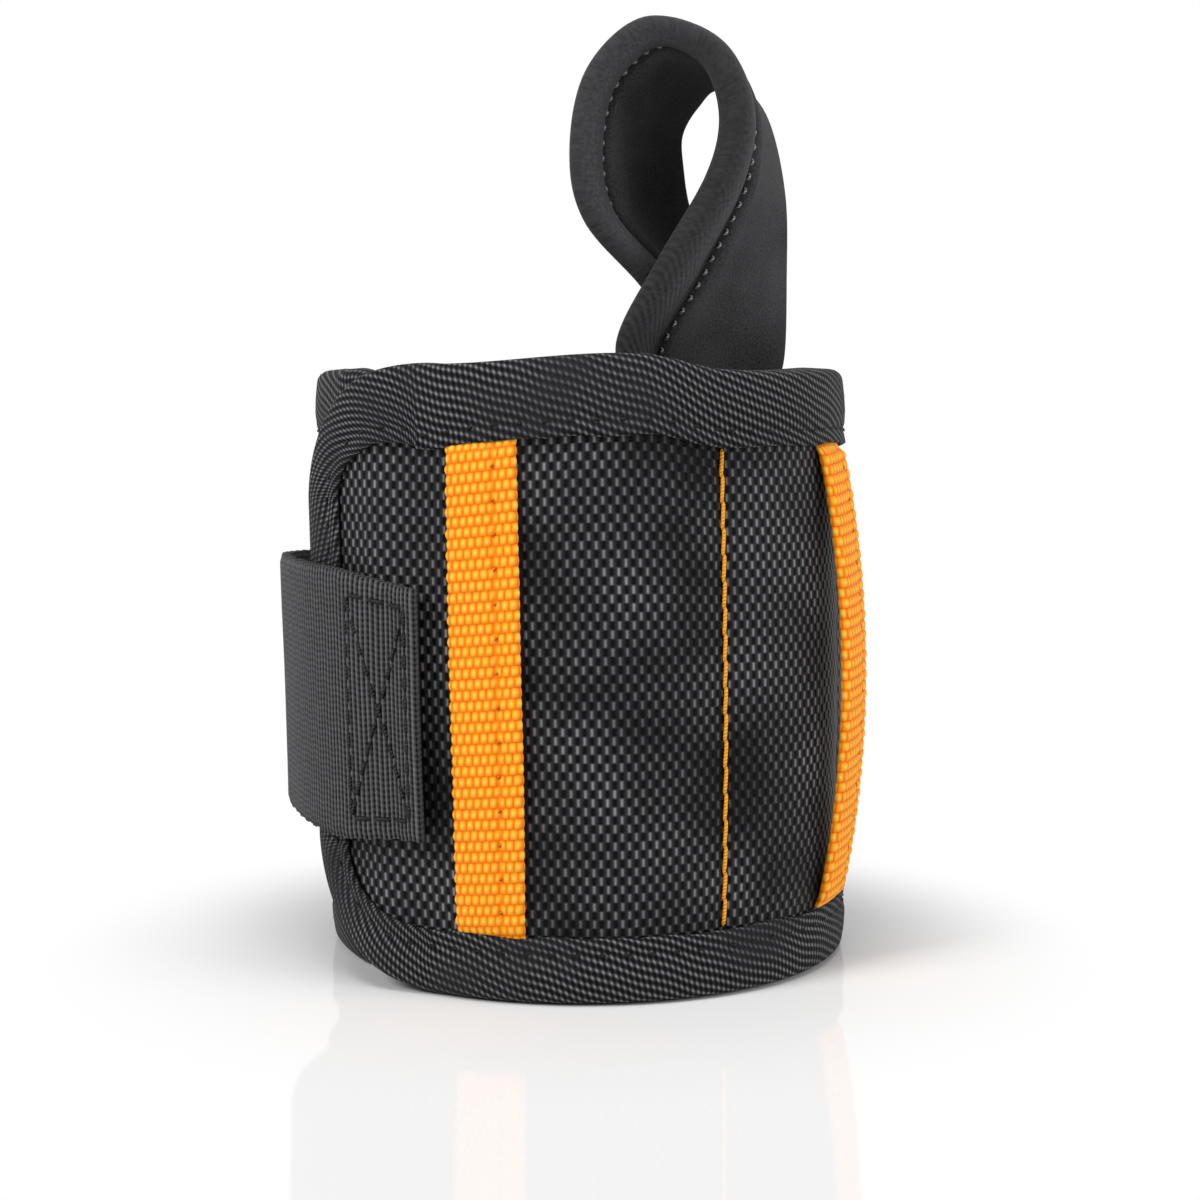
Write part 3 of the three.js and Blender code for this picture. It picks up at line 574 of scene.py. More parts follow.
uneven = add_node(tree, "MapRange", {"Value": fibres.outputs["Fac"], "To Min": -0.12, "To Max": 0.12})
tone = add_node(tree, "Math", {0: knots.outputs[0], 1: uneven.outputs[0]}, operation="ADD")
# painted highlight and shade: the ramp lightens each knot's middle and darkens the hollows between knots
yarns = add_node(tree, "ValToRGB", {"Fac": tone.outputs[0]})
yarns.color_ramp.elements[0].color = linear("#e66c02")
yarns.color_ramp.elements[1].color = linear("#ffc650")
for place, colour in ((0.2, "#fd8e06"), (0.5, "#ffa616")):
    yarns.color_ramp.elements.new(place).color = linear(colour)
# painted shade along the groove of the stitch line
line = add_node(tree, "Math", {0: along, 1: STITCHED_SHARE * STRIP_WIDTH}, operation="SUBTRACT")
line = add_node(tree, "Math", {0: line.outputs[0]}, operation="ABSOLUTE")
stitch_line_shade = {"Value": line.outputs[0], "From Min": 0.45, "From Max": 0.15, "To Max": 0.55}
stitch_line_shade = add_node(tree, "MapRange", stitch_line_shade)
cloth = {"Factor": stitch_line_shade.outputs[0], "A": yarns.outputs["Color"], "B": linear("#fb8c08")}
cloth = add_node(tree, "Mix", cloth, data_type="RGBA")
surface = {"Base Color": cloth.outputs["Result"], "Roughness": 0.5, "Specular IOR Level": 0.15}
finish_material(tree, surface, knots.outputs[0], 0.1)


def bead_waves(u, v):
    """How far a place across and along the webbing is into its knot, either way: 0 at the knot's rim, 1 in
    its middle."""
    rows = (v - ROW_CLIMB * u) / BEAD_LENGTH
    columns = u / BEAD_WIDTH + math.floor(rows) / 2
    return abs(math.sin(math.pi * columns)), abs(math.sin(math.pi * rows))


def arch(t):
    """How far up its arch a strip is at a share of its height: steep at both ends, level in the middle."""
    return math.sin(math.pi * min(1, max(0, t))) ** 0.75


def bent(station, bend, height):
    """Station of a strip's middle at a height."""
    return station + bend * (math.sin(math.pi * height / BAND_HEIGHT) - 1) * DEGREES_PER_MM


def strip(name, station, bow, bend):
    """Beaded webbing up the band, its ends pressed flat under the bindings."""
    low = BOTTOM_DEPTH - STRIP_END
    high = BAND_HEIGHT - TOP_DEPTH + STRIP_END
    columns = round(STRIP_WIDTH / BEAD_WIDTH * POINTS_PER_BEAD)
    rows = round((high - low) / BEAD_LENGTH * POINTS_PER_BEAD)
    sections, threads = [], []
    for z in spread(low, high, rows):
        t = (z - low) / (high - low)
        tuck = ease(0, FLAT_SHARE, t) * ease(1, 1 - FLAT_SHARE, t)
        stand = STRIP_GAP + bow * arch(t) * tuck
        middle = bent(station, bend, z)
        sway = STRIP_SWAY * noise.noise(Vector((z * SWAY_FOLDS, station, 0))) - STRIP_WIDTH / 2
        row, marks = [], []
        for u in spread(0, STRIP_WIDTH, columns):
            across, along = bead_waves(u, z)
            scallop = SCALLOP * (along - 0.4) * (2 * u / STRIP_WIDTH - 1) ** 7
            s = middle + (u + sway + scallop) * DEGREES_PER_MM
            side = min(u, STRIP_WIDTH - u)
            rounded = STRIP * (1 - SELVEDGE_THIN * max(0, 1 - side / SELVEDGE))
            groove = STITCH_GROOVE * math.exp(-(((u - STITCHED_SHARE * STRIP_WIDTH) / GROOVE_WIDTH) ** 2))
            bead = BEAD_SWELL * (across * along) ** 0.6
            lift = stand + (rounded - BEAD_BED + bead) * (PRESSED + (1 - PRESSED) * tuck) - groove * tuck
            row.append(at(s, shell_radius(s, z) + lift, z))
            marks.append((u, z))
        for u in spread(STRIP_WIDTH - UNDER_INSET, UNDER_INSET, 4):
            s = middle + (u + sway) * DEGREES_PER_MM
            row.append(at(s, shell_radius(s, z) + stand - UNDER_DROP, z))
            marks.append((u, z))
        sections.append(row)
        threads.append(marks)
    piece = sew(name, sections, threads, orange_webbing)
    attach(piece, "front_band")
    return piece


left_strip = strip("left_strip", LEFT_STRIP, LEFT_BOW, LEFT_BEND)
right_strip = strip("right_strip", RIGHT_STRIP, RIGHT_BOW, 0)
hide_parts("left_webbing_strip")
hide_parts("right_webbing_strip")

# Stitching
# Twisted polyester thread, lock-stitched by machine. Orange on the pocket seams, dark orange sunk into the
# strips, black along the bindings.
SEAM_THREAD = 0.6
SEAM_STITCH = 4.2
SEAM_LAP = 0.5  # a seam's stitches meet in one needle hole, so each one laps over the next
SEAM_LEAN = 0.16
SEAM_BED = 0.3  # how deep they lie in the pulled-in shell
SEAM_CLEAR = 0.4  # from a binding to the first stitch
SIDE_SEAM = BACK_FOLD - 1.4  # beside the line that the back bends on
STRIP_THREAD = 0.42
STRIP_STITCH = 0.8
STRIP_SPACING = 4
STRIP_CLEAR = 1
STRIP_BED = 0.32  # how deep its stitches lie in the webbing
ARCH_START = 1.2  # how far under the bindings the arch of their line begins
BINDING_THREAD = 0.46
BINDING_STITCH = 1.1
BINDING_SPACING = 2.4
STITCH_SINK = 0.42  # how deep these lie in the tape
STITCH_RISE = 0.3  # share of its thickness that the middle of a stitch stands up
TWIST_PITCH = 0.5
TWIST_SLANT = 0.4


def thread_material(name, light, dark):
    """Twisted polyester thread: slanting strands, slightly glossy."""
    material, tree, _, along, across = new_material(name)
    twist = add_node(tree, "Math", {0: across, 1: TWIST_SLANT, 2: along}, operation="MULTIPLY_ADD")
    strands = {0: twist.outputs[0], 1: 2 * math.pi / TWIST_PITCH}
    strands = add_node(tree, "Math", strands, operation="MULTIPLY")
    strands = add_node(tree, "Math", {0: strands.outputs[0]}, operation="SINE")
    tone = add_node(tree, "MapRange", {"Value": strands.outputs[0], "From Min": -1.0})
    colour = add_node(tree, "ValToRGB", {"Fac": tone.outputs[0]})
    colour.color_ramp.elements[0].color = linear(dark)
    colour.color_ramp.elements[1].color = linear(light)
    surface = {"Base Color": colour.outputs["Color"], "Roughness": 0.45, "Specular IOR Level": 0.25}
    finish_material(tree, surface, strands.outputs[0], 0.05)
    return material


orange_thread = thread_material("orange_polyester_thread", "#ffb52a", "#e88a0a")
rust_thread = thread_material("rust_polyester_thread", "#ef8408", "#b04404")
black_thread = thread_material("black_polyester_thread", "#0c0c0d", "#040404")
grey_thread = thread_material("grey_polyester_thread", "#1a1a1b", "#080809")


def stitches(name, spans, thickness, material, sink=0.75):
    """Sewn stitches, each from one needle hole to the next, rising out of the cloth between them."""
    rings, sides = 8, 6
    points, faces, marks = [], [], []
    for start, end, outward in spans:
        base = len(points)
        run = end - start
        across = run.cross(outward).normalized()
        for share in spread(0, 1, rings):
            bow = (2 * share - 1) ** 4
            radius = 0.5 * thickness * MM * math.sqrt(max(0.04, 1 - bow * bow))
            middle = start + run * share + outward * thickness * MM * (STITCH_RISE - sink * bow)
            for side in range(sides):
                turn = 2 * math.pi * side / sides
                points.append(middle + radius * (math.cos(turn) * across + math.sin(turn) * outward))
                marks.append((share * run.length / MM, side * thickness * 0.5))
        for ring in range(rings):
            for side in range(sides):
                a = base + ring * sides + side
                b = base + ring * sides + (side + 1) % sides
                faces.append((a, b, b + sides, a + sides))
        faces.append(tuple(reversed(range(base, base + sides))))
        faces.append(tuple(range(base + rings * sides, base + (rings + 1) * sides)))
    piece = cloth_piece(name, points, faces, marks, material)
    return piece


def outward_at(station):
    """The way out of the band at a station."""
    return (at(station, 2, 0) - at(station, 1, 0)).normalized()


def upright_spans(station, bend, low, high, length, gap, lift, lean=0):
    """Stitches up the band at one station, leaning a little to either side in turn."""
    count = max(1, round((high - low) / (length + gap)))
    step = (high - low) / count
    spans = []
    for i in range(count):
        z0 = low + i * step + gap / 2
        z1 = low + (i + 1) * step - gap / 2
        s0 = bent(station, bend, z0) - lean * DEGREES_PER_MM
        s1 = bent(station, bend, z1) + lean * DEGREES_PER_MM
        start = at(s0, shell_radius(s0, z0) + lift(z0), z0)
        end = at(s1, shell_radius(s1, z1) + lift(z1), z1)
        spans.append((start, end, outward_at(station)))
    return spans


seam_low = BOTTOM_DEPTH + SEAM_CLEAR
seam_high = BAND_HEIGHT - TOP_DEPTH - SEAM_CLEAR
for name, station, node in (
    ("front_seam", FRONT_SEAM, "front_seam_thread"),
    ("side_seam", SIDE_SEAM, "side_seam_thread"),
    ("rear_seam", REAR_SEAM, "rear_seam_thread"),
):
    spans = upright_spans(station, 0, seam_low, seam_high, SEAM_STITCH, -SEAM_LAP,
                          lambda z: -SEAM_BED, SEAM_LEAN)
    seam = stitches(name, spans, SEAM_THREAD, orange_thread, SEAM_BED)
    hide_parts(node)
    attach(seam, "back_band" if name == "rear_seam" else "front_band")

for name, station, bow, bend in (
    ("left_strip", LEFT_STRIP, LEFT_BOW, LEFT_BEND),
    ("right_strip", RIGHT_STRIP, RIGHT_BOW, 0),
):
    line = station + (STITCHED_SHARE - 0.5) * STRIP_WIDTH * DEGREES_PER_MM
    low, high = BOTTOM_DEPTH + STRIP_CLEAR, BAND_HEIGHT - TOP_DEPTH - STRIP_CLEAR

    def on_strip(z):
        arch_height = BAND_HEIGHT - TOP_DEPTH - BOTTOM_DEPTH + 2 * ARCH_START
        return bow * arch((z - BOTTOM_DEPTH + ARCH_START) / arch_height) + STRIP - STRIP_BED

    spans = upright_spans(line, bend, low, high, STRIP_STITCH, STRIP_SPACING, on_strip)
    row = stitches(name + "_stitches", spans, STRIP_THREAD, rust_thread)
    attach(row, "front_band")


def track_spans(track, length, gap):
    """Stitches of one length along a track of points, each with its way out of the cloth, and a little room
    left at both ends."""
    spans = []
    room = 0.5
    walked = [0]
    for (a, _), (b, _) in zip(track, track[1:]):
        walked.append(walked[-1] + (b - a).length / MM)

    def along(distance):
        i = max(k for k in range(len(walked) - 1) if walked[k] <= distance)
        t = (distance - walked[i]) / max(1e-6, walked[i + 1] - walked[i])
        return track[i][0].lerp(track[i + 1][0], t), track[i][1]

    for i in range(int((walked[-1] - 2 * room) / (length + gap))):
        begin = room + i * (length + gap)
        start, outward = along(begin)
        spans.append((start, along(begin + length)[0], outward))
    return spans


def edge_spans(places):
    """Stitches along a binding, a set distance in from the edge of its outer face."""
    track = []
    for station, height, in_station, in_height, depth in places:
        inward = depth - STITCH_INSET
        s = station + in_station * inward * DEGREES_PER_MM
        z = height + in_height * inward
        track.append((at(s, shell_radius(s, z) + FIT + TAPE - STITCH_SINK, z), outward_at(s)))
    return track_spans(track, BINDING_STITCH, BINDING_SPACING)


for name, places in (
    ("front", front_edge),
    ("side_top", side_top_edge),
    ("side_bottom", side_bottom_edge),
    ("back", back_edge),
):
    spans = edge_spans(places)
    row = stitches(name + "_binding_stitches", spans, BINDING_THREAD, black_thread)
    if name == "front":
        bend_at_flap(row)
    elif name == "back":
        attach(row, "back_band")
    else:
        bend_at_back(row)

# Closure strap
# Ribbed webbing, folded double and sewn to the flap with a boxed cross. It runs on round the back as one
# layer with moulded hooks under it, which grip a field of loop pile on the band.
STRAP_WIDTH = 38
STRAP_MIDDLE = 40.5
TAB_START = -30.2
STRAP_FOLD = -74
STRAP_TIP = -147
TAB_LAYER = 1.0
TAB_CURL = 1.7  # how far the tab's folded end stands off the shell
CURL_LENGTH = 8
TAB_DROP = 0.9  # how much lower the tab's end is sewn than the middle of the strap
STRAP_CLIMB = 2.3  # how far the strap climbs from there to the side
CLIMB = (-20, -90)  # the stations that it climbs between
TAB_DRAWN = 0.08  # share of its width that the sewn end is drawn in
DRAWN_FROM = -52
STRAP = 1.8
THICKENED = (-66, -76)  # the stations where the tab's upper layer turns into the strap's full thickness
STRAP_RADIUS = 44.5
LIFTED = (STRAP_FOLD + 4, STRAP_FOLD - 6)  # the stations where it leaves the flap for that radius
STRAP_BEND = (-70, -79)
UNDERLAY = 0.72  # the tab's under layer, a little short of the upper one
UNDERLAY_SHORT = 0.4
UNDERLAY_END = -69
RIB = 0.72
RIB_HEIGHT = 0.1
PICK = 0.85  # pitch of the yarns up a rib
WEB_NOSE = 0.8  # length of the rounding at a cut or folded end, and at the selvedges
WEB_SAG = 0.18
SAG_FOLDS = (0.08, 0.06)  # for each degree along the strap, and for each millimetre up it
EDGE_WAVE = 0.12  # the selvedge is pulled in and out by the weft
EDGE_WAVE_PITCH = 2.9
FUZZ = 0.6  # patches of worn yarn to the millimetre
strap_low = STRAP_MIDDLE - STRAP_WIDTH / 2
strap_high = STRAP_MIDDLE + STRAP_WIDTH / 2

# Polypropylene webbing, grey-black: upright ribs, each one a row of small flat stitches of yarn.
grey_webbing, tree, threads, along, across = new_material("ribbed_webbing")
ribs = add_node(tree, "Math", {0: along, 1: 2 * math.pi / RIB}, operation="MULTIPLY")
ribs = add_node(tree, "Math", {0: ribs.outputs[0]}, operation="COSINE")
picks = add_node(tree, "Math", {0: across, 1: 2 * math.pi / PICK}, operation="MULTIPLY")
picks = add_node(tree, "Math", {0: picks.outputs[0]}, operation="SINE")
relief = add_node(tree, "Math", {0: picks.outputs[0], 1: 0.3, 2: ribs.outputs[0]}, operation="MULTIPLY_ADD")
tone = add_node(tree, "MapRange", {"Value": relief.outputs[0], "From Min": -1.2, "From Max": 1.2})
yarns = add_node(tree, "ValToRGB", {"Fac": tone.outputs[0]})
yarns.color_ramp.elements[0].color = linear("#0c0c0d")
yarns.color_ramp.elements[1].color = linear("#6a6a6c")
fuzz = add_node(tree, "TexNoise", {"Vector": threads, "Scale": FUZZ, "Detail": 4.0})
shade = add_node(tree, "MapRange", {"Value": fuzz.outputs["Fac"], "To Min": 0.75, "To Max": 1.2})
cloth = add_node(tree, "Mix", {"Factor": 1.0, "A": yarns.outputs["Color"], "B": shade.outputs[0]},
                 data_type="RGBA", blend_type="MULTIPLY")
surface = {"Base Color": cloth.outputs["Result"], "Roughness": 0.75, "Specular IOR Level": 0.05, **sheen}
finish_material(tree, surface, relief.outputs[0], 0.1)


def strap_under(station, height):
    """Under face of the strap: on the shell, up over the end binding, then level over the hooks."""
    over_tape = ease(OUTER_END + THIN_END + FLAP_TAPER, OUTER_END + THIN_END, station)
    curl = TAB_CURL * ease(TAB_START - CURL_LENGTH, TAB_START, station)
    on_flap = shell_radius(station, height) + FIT + (FIT + TAPE) * over_tape + curl
    return on_flap + (STRAP_RADIUS - on_flap) * ease(*LIFTED, station)


def strap_height(station, height):
    """Where a height on the straight strap comes to lie."""
    drawn = 1 - TAB_DRAWN * ease(DRAWN_FROM, TAB_START, station)
    climb = STRAP_CLIMB * ease(*CLIMB, station) - TAB_DROP
    return STRAP_MIDDLE + (height - STRAP_MIDDLE) * drawn + climb


def webbing_layer(name, first, last, under, thick, per_rib):
    """A run of ribbed webbing: ribs across it, rounded selvedges, a folded nose at its first end."""
    count = round(abs(last - first) / DEGREES_PER_MM / RIB * per_rib)
    sections, threads = [], []
    for station in spread(first, last, count):
        along = station / DEGREES_PER_MM
        rib = RIB_HEIGHT * math.cos(2 * math.pi * along / RIB)
        wave = EDGE_WAVE * math.sin(2 * math.pi * along / EDGE_WAVE_PITCH)
        from_end = min(abs(station - first), abs(station - last)) / DEGREES_PER_MM
        nose = math.sqrt(min(1, from_end / WEB_NOSE + 0.08))
        row, marks = [], []
        for z in spread(strap_low, strap_high, 28):
            side = min(z - strap_low, strap_high - z)
            edge = 0.6 + 0.4 * min(1, side / WEB_NOSE)
            sag = WEB_SAG * noise.noise(Vector((station * SAG_FOLDS[0], z * SAG_FOLDS[1], 9)))
            lift = thick(station) * (0.5 + 0.5 * nose * edge) + rib * nose + sag
            height = strap_height(station, z)
            row.append(at(station, under(station, height) + lift, height + wave))
            marks.append((along, z))
        for z in spread(strap_high, strap_low, 10):
            height = strap_height(station, z)
            row.append(at(station, under(station, height) + thick(station) * (0.5 - 0.5 * nose), height))
            marks.append((along, z))
        sections.append(row)
        threads.append(marks)
    piece = sew(name, sections, threads, grey_webbing)
    return piece


def strap_thick(station):
    """Thickness of the strap: one layer on the tab, full past it."""
    return TAB_LAYER + (STRAP - TAB_LAYER) * ease(*THICKENED, station)


def strap_face(station, height):
    """Under face of the strap's upper layer."""
    return strap_under(station, height) + (STRAP - strap_thick(station))


strap = webbing_layer("strap_webbing", TAB_START, STRAP_TIP, strap_face, strap_thick, 5)
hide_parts("strap_tab", "closure_strap")
bend_start, bend_end = (at(station, STRAP_RADIUS, BAND_HEIGHT / 2) for station in STRAP_BEND)
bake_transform(strap)
underlay_start = TAB_START - UNDERLAY_SHORT
tab_under = webbing_layer("tab_underlay", underlay_start, UNDERLAY_END, strap_under,
                          lambda station: UNDERLAY, 4)
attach(tab_under, "outer_flap")

BOX_FIRST = -32.4
BOX_LAST = -45.6
BOX_MARGIN = 3.0
BOX_THREAD = 0.62
BOX_STITCH = 2.6
BOX_SPACING = 0.5
BOX_BED = 0.02  # how deep they lie in the tab


def on_tab(station, height):
    """A point on the outer face of the tab."""
    height = strap_height(station, height)
    return at(station, strap_under(station, height) + STRAP - BOX_BED, height)


def tab_line(first, last):
    """Stitches in a straight line on the tab, from one station and height to another."""
    run = math.hypot((last[0] - first[0]) / DEGREES_PER_MM, last[1] - first[1])
    count = max(1, round(run / (BOX_STITCH + BOX_SPACING)))
    half_gap = 0.5 * BOX_SPACING / (BOX_STITCH + BOX_SPACING)
    spans = []
    for i in range(count):
        low, high = (i + half_gap) / count, (i + 1 - half_gap) / count
        a = [first[k] + (last[k] - first[k]) * low for k in (0, 1)]
        b = [first[k] + (last[k] - first[k]) * high for k in (0, 1)]
        spans.append((on_tab(*a), on_tab(*b), outward_at(a[0])))
    return spans


box_low, box_high = strap_low + BOX_MARGIN, strap_high - BOX_MARGIN
corners = [(BOX_FIRST, box_low), (BOX_FIRST, box_high), (BOX_LAST, box_high), (BOX_LAST, box_low)]
lines = [(corners[i], corners[(i + 1) % 4]) for i in range(4)]
lines += [(corners[0], corners[2]), (corners[1], corners[3])]
spans = [span for line in lines for span in tab_line(*line)]
boxed_cross = stitches("tab_boxed_cross", spans, BOX_THREAD, grey_thread)
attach(boxed_cross, "outer_flap")

# Hook pad and loop field
# Moulded nylon hooks on a tape under the strap, and a field of brushed nylon loops on the back of the band.
# Both are sewn on flat, and the strap closes the band where one is pressed into the other.
HOOK_PAD = 1.2
HOOK_START = -88
HOOK_MARGIN = 2.5
LOOP_FIELD = 1.2
LOOP_START = 214
LOOP_END = 270
LOOP_MARGIN = 6
PATCH_EDGE = 1.2  # length of the rounding round a patch
PATCH_RIM = 0.35  # share of its thickness at its edge
PATCH_BED = 0.05  # how far a patch stands off the face that it is sewn to

# Moulded nylon hooks in straight rows, black and slightly shiny.
HOOK_PITCH = 1.2
hook_tape, tree, threads, _, _ = new_material("moulded_hooks")
hooks = add_node(tree, "TexVoronoi", {"Vector": threads, "Scale": 1 / HOOK_PITCH, "Randomness": 0.1})
stems = {"Value": hooks.outputs["Distance"], "From Min": 0.1, "From Max": 0.4, "To Min": 1.0, "To Max": 0.0}
stems = add_node(tree, "MapRange", stems)
tone = add_node(tree, "ValToRGB", {"Fac": stems.outputs[0]})
tone.color_ramp.elements[0].color = linear("#0d0d0e")
tone.color_ramp.elements[1].color = linear("#3c3c3e")
surface = {"Base Color": tone.outputs["Color"], "Roughness": 0.4, "Specular IOR Level": 0.3}
finish_material(tree, surface, stems.outputs[0], 0.6)

# Brushed nylon loops: a soft matt pile with a tangled grain. The loops are finer than the render shows, so
# their tufts are drawn.
TUFTS = 1.3  # to the millimetre
loop_pile, tree, threads, _, _ = new_material("brushed_loops")
tangle = add_node(tree, "TexNoise", {"Vector": threads, "Scale": TUFTS, "Detail": 6.0, "Distortion": 1.5})
tone = add_node(tree, "ValToRGB", {"Fac": tangle.outputs["Fac"]})
tone.color_ramp.elements[0].color = linear("#101011")
tone.color_ramp.elements[1].color = linear("#3a3a3c")
pile = {"Sheen Weight": 0.2, "Sheen Roughness": 0.5}
surface = {"Base Color": tone.outputs["Color"], "Roughness": 0.95, "Specular IOR Level": 0.05, **pile}
finish_material(tree, surface, tangle.outputs["Fac"], 0.5)


def flat_patch(name, first, last, low, high, under, thick, material):
    """A sewn-on patch with rounded edges that follows the face under it."""
    sections, threads = [], []
    count = round(abs(last - first) / DEGREES_PER_MM)
    for station in spread(first, last, count):
        from_end = min(abs(station - first), abs(station - last)) / DEGREES_PER_MM
        row, marks = [], []
        for z in spread(low, high, 40):
            side = min(from_end, z - low, high - z)
            lift = thick * (PATCH_RIM + (1 - PATCH_RIM) * math.sqrt(min(1, side / PATCH_EDGE)))
            row.append(at(station, under(station, z) + lift, z))
            marks.append((station / DEGREES_PER_MM, z))
        for z in (high, (low + high) / 2, low):
            row.append(at(station, under(station, z), z))
            marks.append((station / DEGREES_PER_MM, z))
        sections.append(row)
        threads.append(marks)
    piece = sew(name, sections, threads, material)
    return piece


hook_end = STRAP_TIP + HOOK_MARGIN * DEGREES_PER_MM
hook_low = strap_height(STRAP_TIP, strap_low + HOOK_MARGIN)
hook_high = strap_height(STRAP_TIP, strap_high - HOOK_MARGIN)
hook_thick = -(HOOK_PAD + FIT - 2 * PATCH_BED)  # towards the wrist
hooks = flat_patch("hook_patch", HOOK_START, hook_end, hook_low, hook_high,
                   lambda station, z: STRAP_RADIUS - PATCH_BED,
                   hook_thick, hook_tape)
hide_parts("hook_pad")
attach(hooks, "strap")
loop_low, loop_high = strap_low - LOOP_MARGIN, strap_high + LOOP_MARGIN
loop_thick = LOOP_FIELD + FIT - 2 * PATCH_BED
loops = flat_patch("loop_patch", LOOP_START, LOOP_END, loop_low, loop_high,
                   lambda station, z: shell_radius(station, z) + PATCH_BED,
                   loop_thick, loop_pile)
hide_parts("loop_field")
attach(loops, "back_band")

# Thumb loop
# A panel of jersey-faced neoprene bent into a loop, with one edge rolled over a foam core and sewn down.
# Both legs go down inside the band, where a sewn patch holds their feet.
LOOP_STATION = 45
LOOP_WALL = 31.3  # from the wrist axis to the lining behind the loop
LOOP_PANEL = 2.4
ROLL_WIDTH = 7.2
ROLL_SWELL = 2.6
ROLL_CURL = 0.8  # the roll is turned to the inside of the loop
ROLL_OPEN = 28  # degrees of its round that are open to either side of the panel
ROLL_SHIFT = 0.8  # how far the roll's middle is pushed off the panel
ROLL_SPARE = 0.2  # how much fuller its round is than half its width
ROLL_FOOT = 0.3  # share of its size that the roll loses inside the band
ROLL_FREED = (0.08, 0.22)  # and the shares of the loop where it fills out
ROLL_SLIM = 0.24  # share that it loses over the top and down the rear leg
ROLL_SLIMMED = (0.33, 0.5)  # and the shares of the loop where it slims
SEWN_HALF = LOOP_PANEL / 2 - 0.55  # half the panel's thickness under the stitches
LOOP_THREAD = 0.42
LOOP_STITCH = 1.0
LOOP_SPACING = 1.1
STITCH_PAST = 0.1  # past the roll
STITCH_OUT = 0.2  # out from the sewn panel
# Points of its two edges: along the wall from its station, out from the wall, and up from the rim.
ROLLED_EDGE = [
    (-12.5, -5.6, -12), (-14.2, -5.3, -5), (-16.2, -5.7, 1.9), (-13.7, 0.2, 12.5), (-9.4, 6.0, 24.3),
    (-7.6, 7.2, 33.7), (-10.0, 4.6, 42.2), (-16.6, -1.8, 45.2), (-22.2, -6.8, 38.6), (-24.0, -8.3, 27.9),
    (-21.4, -8.1, 18.6), (-11.8, -5.4, 9.3), (-7.4, -8.3, 1.9), (-8.6, -9.0, -5), (-8.8, -8.6, -12),
]
PLAIN_EDGE = [
    (13.5, -5.6, -12), (14.9, -5.3, -5), (16.4, -4.3, 1.9), (15.6, -3.5, 12.5), (14.1, -3.0, 25.4),
    (11.9, -5.2, 37.0), (8.3, -9.5, 41.8), (5.8, -12.2, 39.3), (3.8, -14.0, 34.8), (3.6, -13.8, 29.8),
    (5.3, -13.3, 22.1), (10.6, -11.4, 11.5), (15.5, -9.5, 1.9), (14.6, -9.0, -5), (13.4, -8.6, -12),
]

# Neoprene faced with fine jersey: matt, almost black, with a faint grain and a soft bloom at grazing light.
# It is painted darker along its stitch line, as shade in the groove there.
JERSEY_GRAIN = 2.6  # to the millimetre
BLOOM_PATCH = 12.5
neoprene, tree, threads, _, across = new_material("jersey_neoprene")
grain = add_node(tree, "TexNoise", {"Vector": threads, "Scale": JERSEY_GRAIN, "Detail": 4.0})
painted_bloom = add_node(tree, "TexNoise", {"Vector": threads, "Scale": 1 / BLOOM_PATCH, "Detail": 2.0})
tone = {0: painted_bloom.outputs["Fac"], 1: 0.6, 2: grain.outputs["Fac"]}
tone = add_node(tree, "Math", tone, operation="MULTIPLY_ADD")
knit = add_node(tree, "ValToRGB", {"Fac": tone.outputs[0]})
knit.color_ramp.elements[0].color = linear("#161617")
knit.color_ramp.elements[1].color = linear("#48484a")
knit.color_ramp.elements[0].position = 0.4
knit.color_ramp.elements[1].position = 1.0
# painted shade: darker within about a millimetre of the stitch line, where the groove is
seam_shade = add_node(tree, "Math", {0: across}, operation="ABSOLUTE")
seam_shade = {"Value": seam_shade.outputs[0], "From Min": 0.3, "From Max": 1.3, "To Min": 0.3}
seam_shade = add_node(tree, "MapRange", seam_shade)
cloth = add_node(tree, "Mix", {"Factor": 1.0, "A": knit.outputs["Color"], "B": seam_shade.outputs[0]},
                 data_type="RGBA", blend_type="MULTIPLY")
soft = {"Sheen Weight": 0.05, "Sheen Roughness": 0.45}
surface = {"Base Color": cloth.outputs["Result"], "Roughness": 0.85, "Specular IOR Level": 0.06, **soft}
finish_material(tree, surface, grain.outputs["Fac"], 0.12)

# Jersey tape over the rolled edge: the same cloth, with fine slanting ribs where it is stretched at the foot,
# painted lighter along its crown as a highlight and darker towards the stitches as shade.
RIB_SLANT = 1.4
RIB_STEP = 1.2
STRETCHED = (24.0, 44.0)  # how far along the loop its ribs begin and have ended fading
ROLL_GRAIN = 1.8  # to the millimetre, coarser than the panel's, because the roll stretches it
rolled_jersey, tree, threads, along, across = new_material("rolled_jersey")
ribs = add_node(tree, "Math", {0: across, 1: RIB_SLANT, 2: along}, operation="MULTIPLY_ADD")
ribs = add_node(tree, "Math", {0: ribs.outputs[0], 1: 2 * math.pi / RIB_STEP}, operation="MULTIPLY")
ribs = add_node(tree, "Math", {0: ribs.outputs[0]}, operation="SINE")
drawn = {"Value": along, "From Min": STRETCHED[0], "From Max": STRETCHED[1], "To Min": 0.16, "To Max": 0.02}
drawn = add_node(tree, "MapRange", drawn)
ribs = add_node(tree, "Math", {0: ribs.outputs[0], 1: drawn.outputs[0]}, operation="MULTIPLY")
grain = add_node(tree, "TexNoise", {"Vector": threads, "Scale": ROLL_GRAIN, "Detail": 4.0})
relief = add_node(tree, "Math", {0: ribs.outputs[0], 1: grain.outputs["Fac"]}, operation="ADD")
knit = add_node(tree, "ValToRGB", {"Fac": relief.outputs[0]})
knit.color_ramp.elements[0].color = linear("#232325")
knit.color_ramp.elements[1].color = linear("#565658")
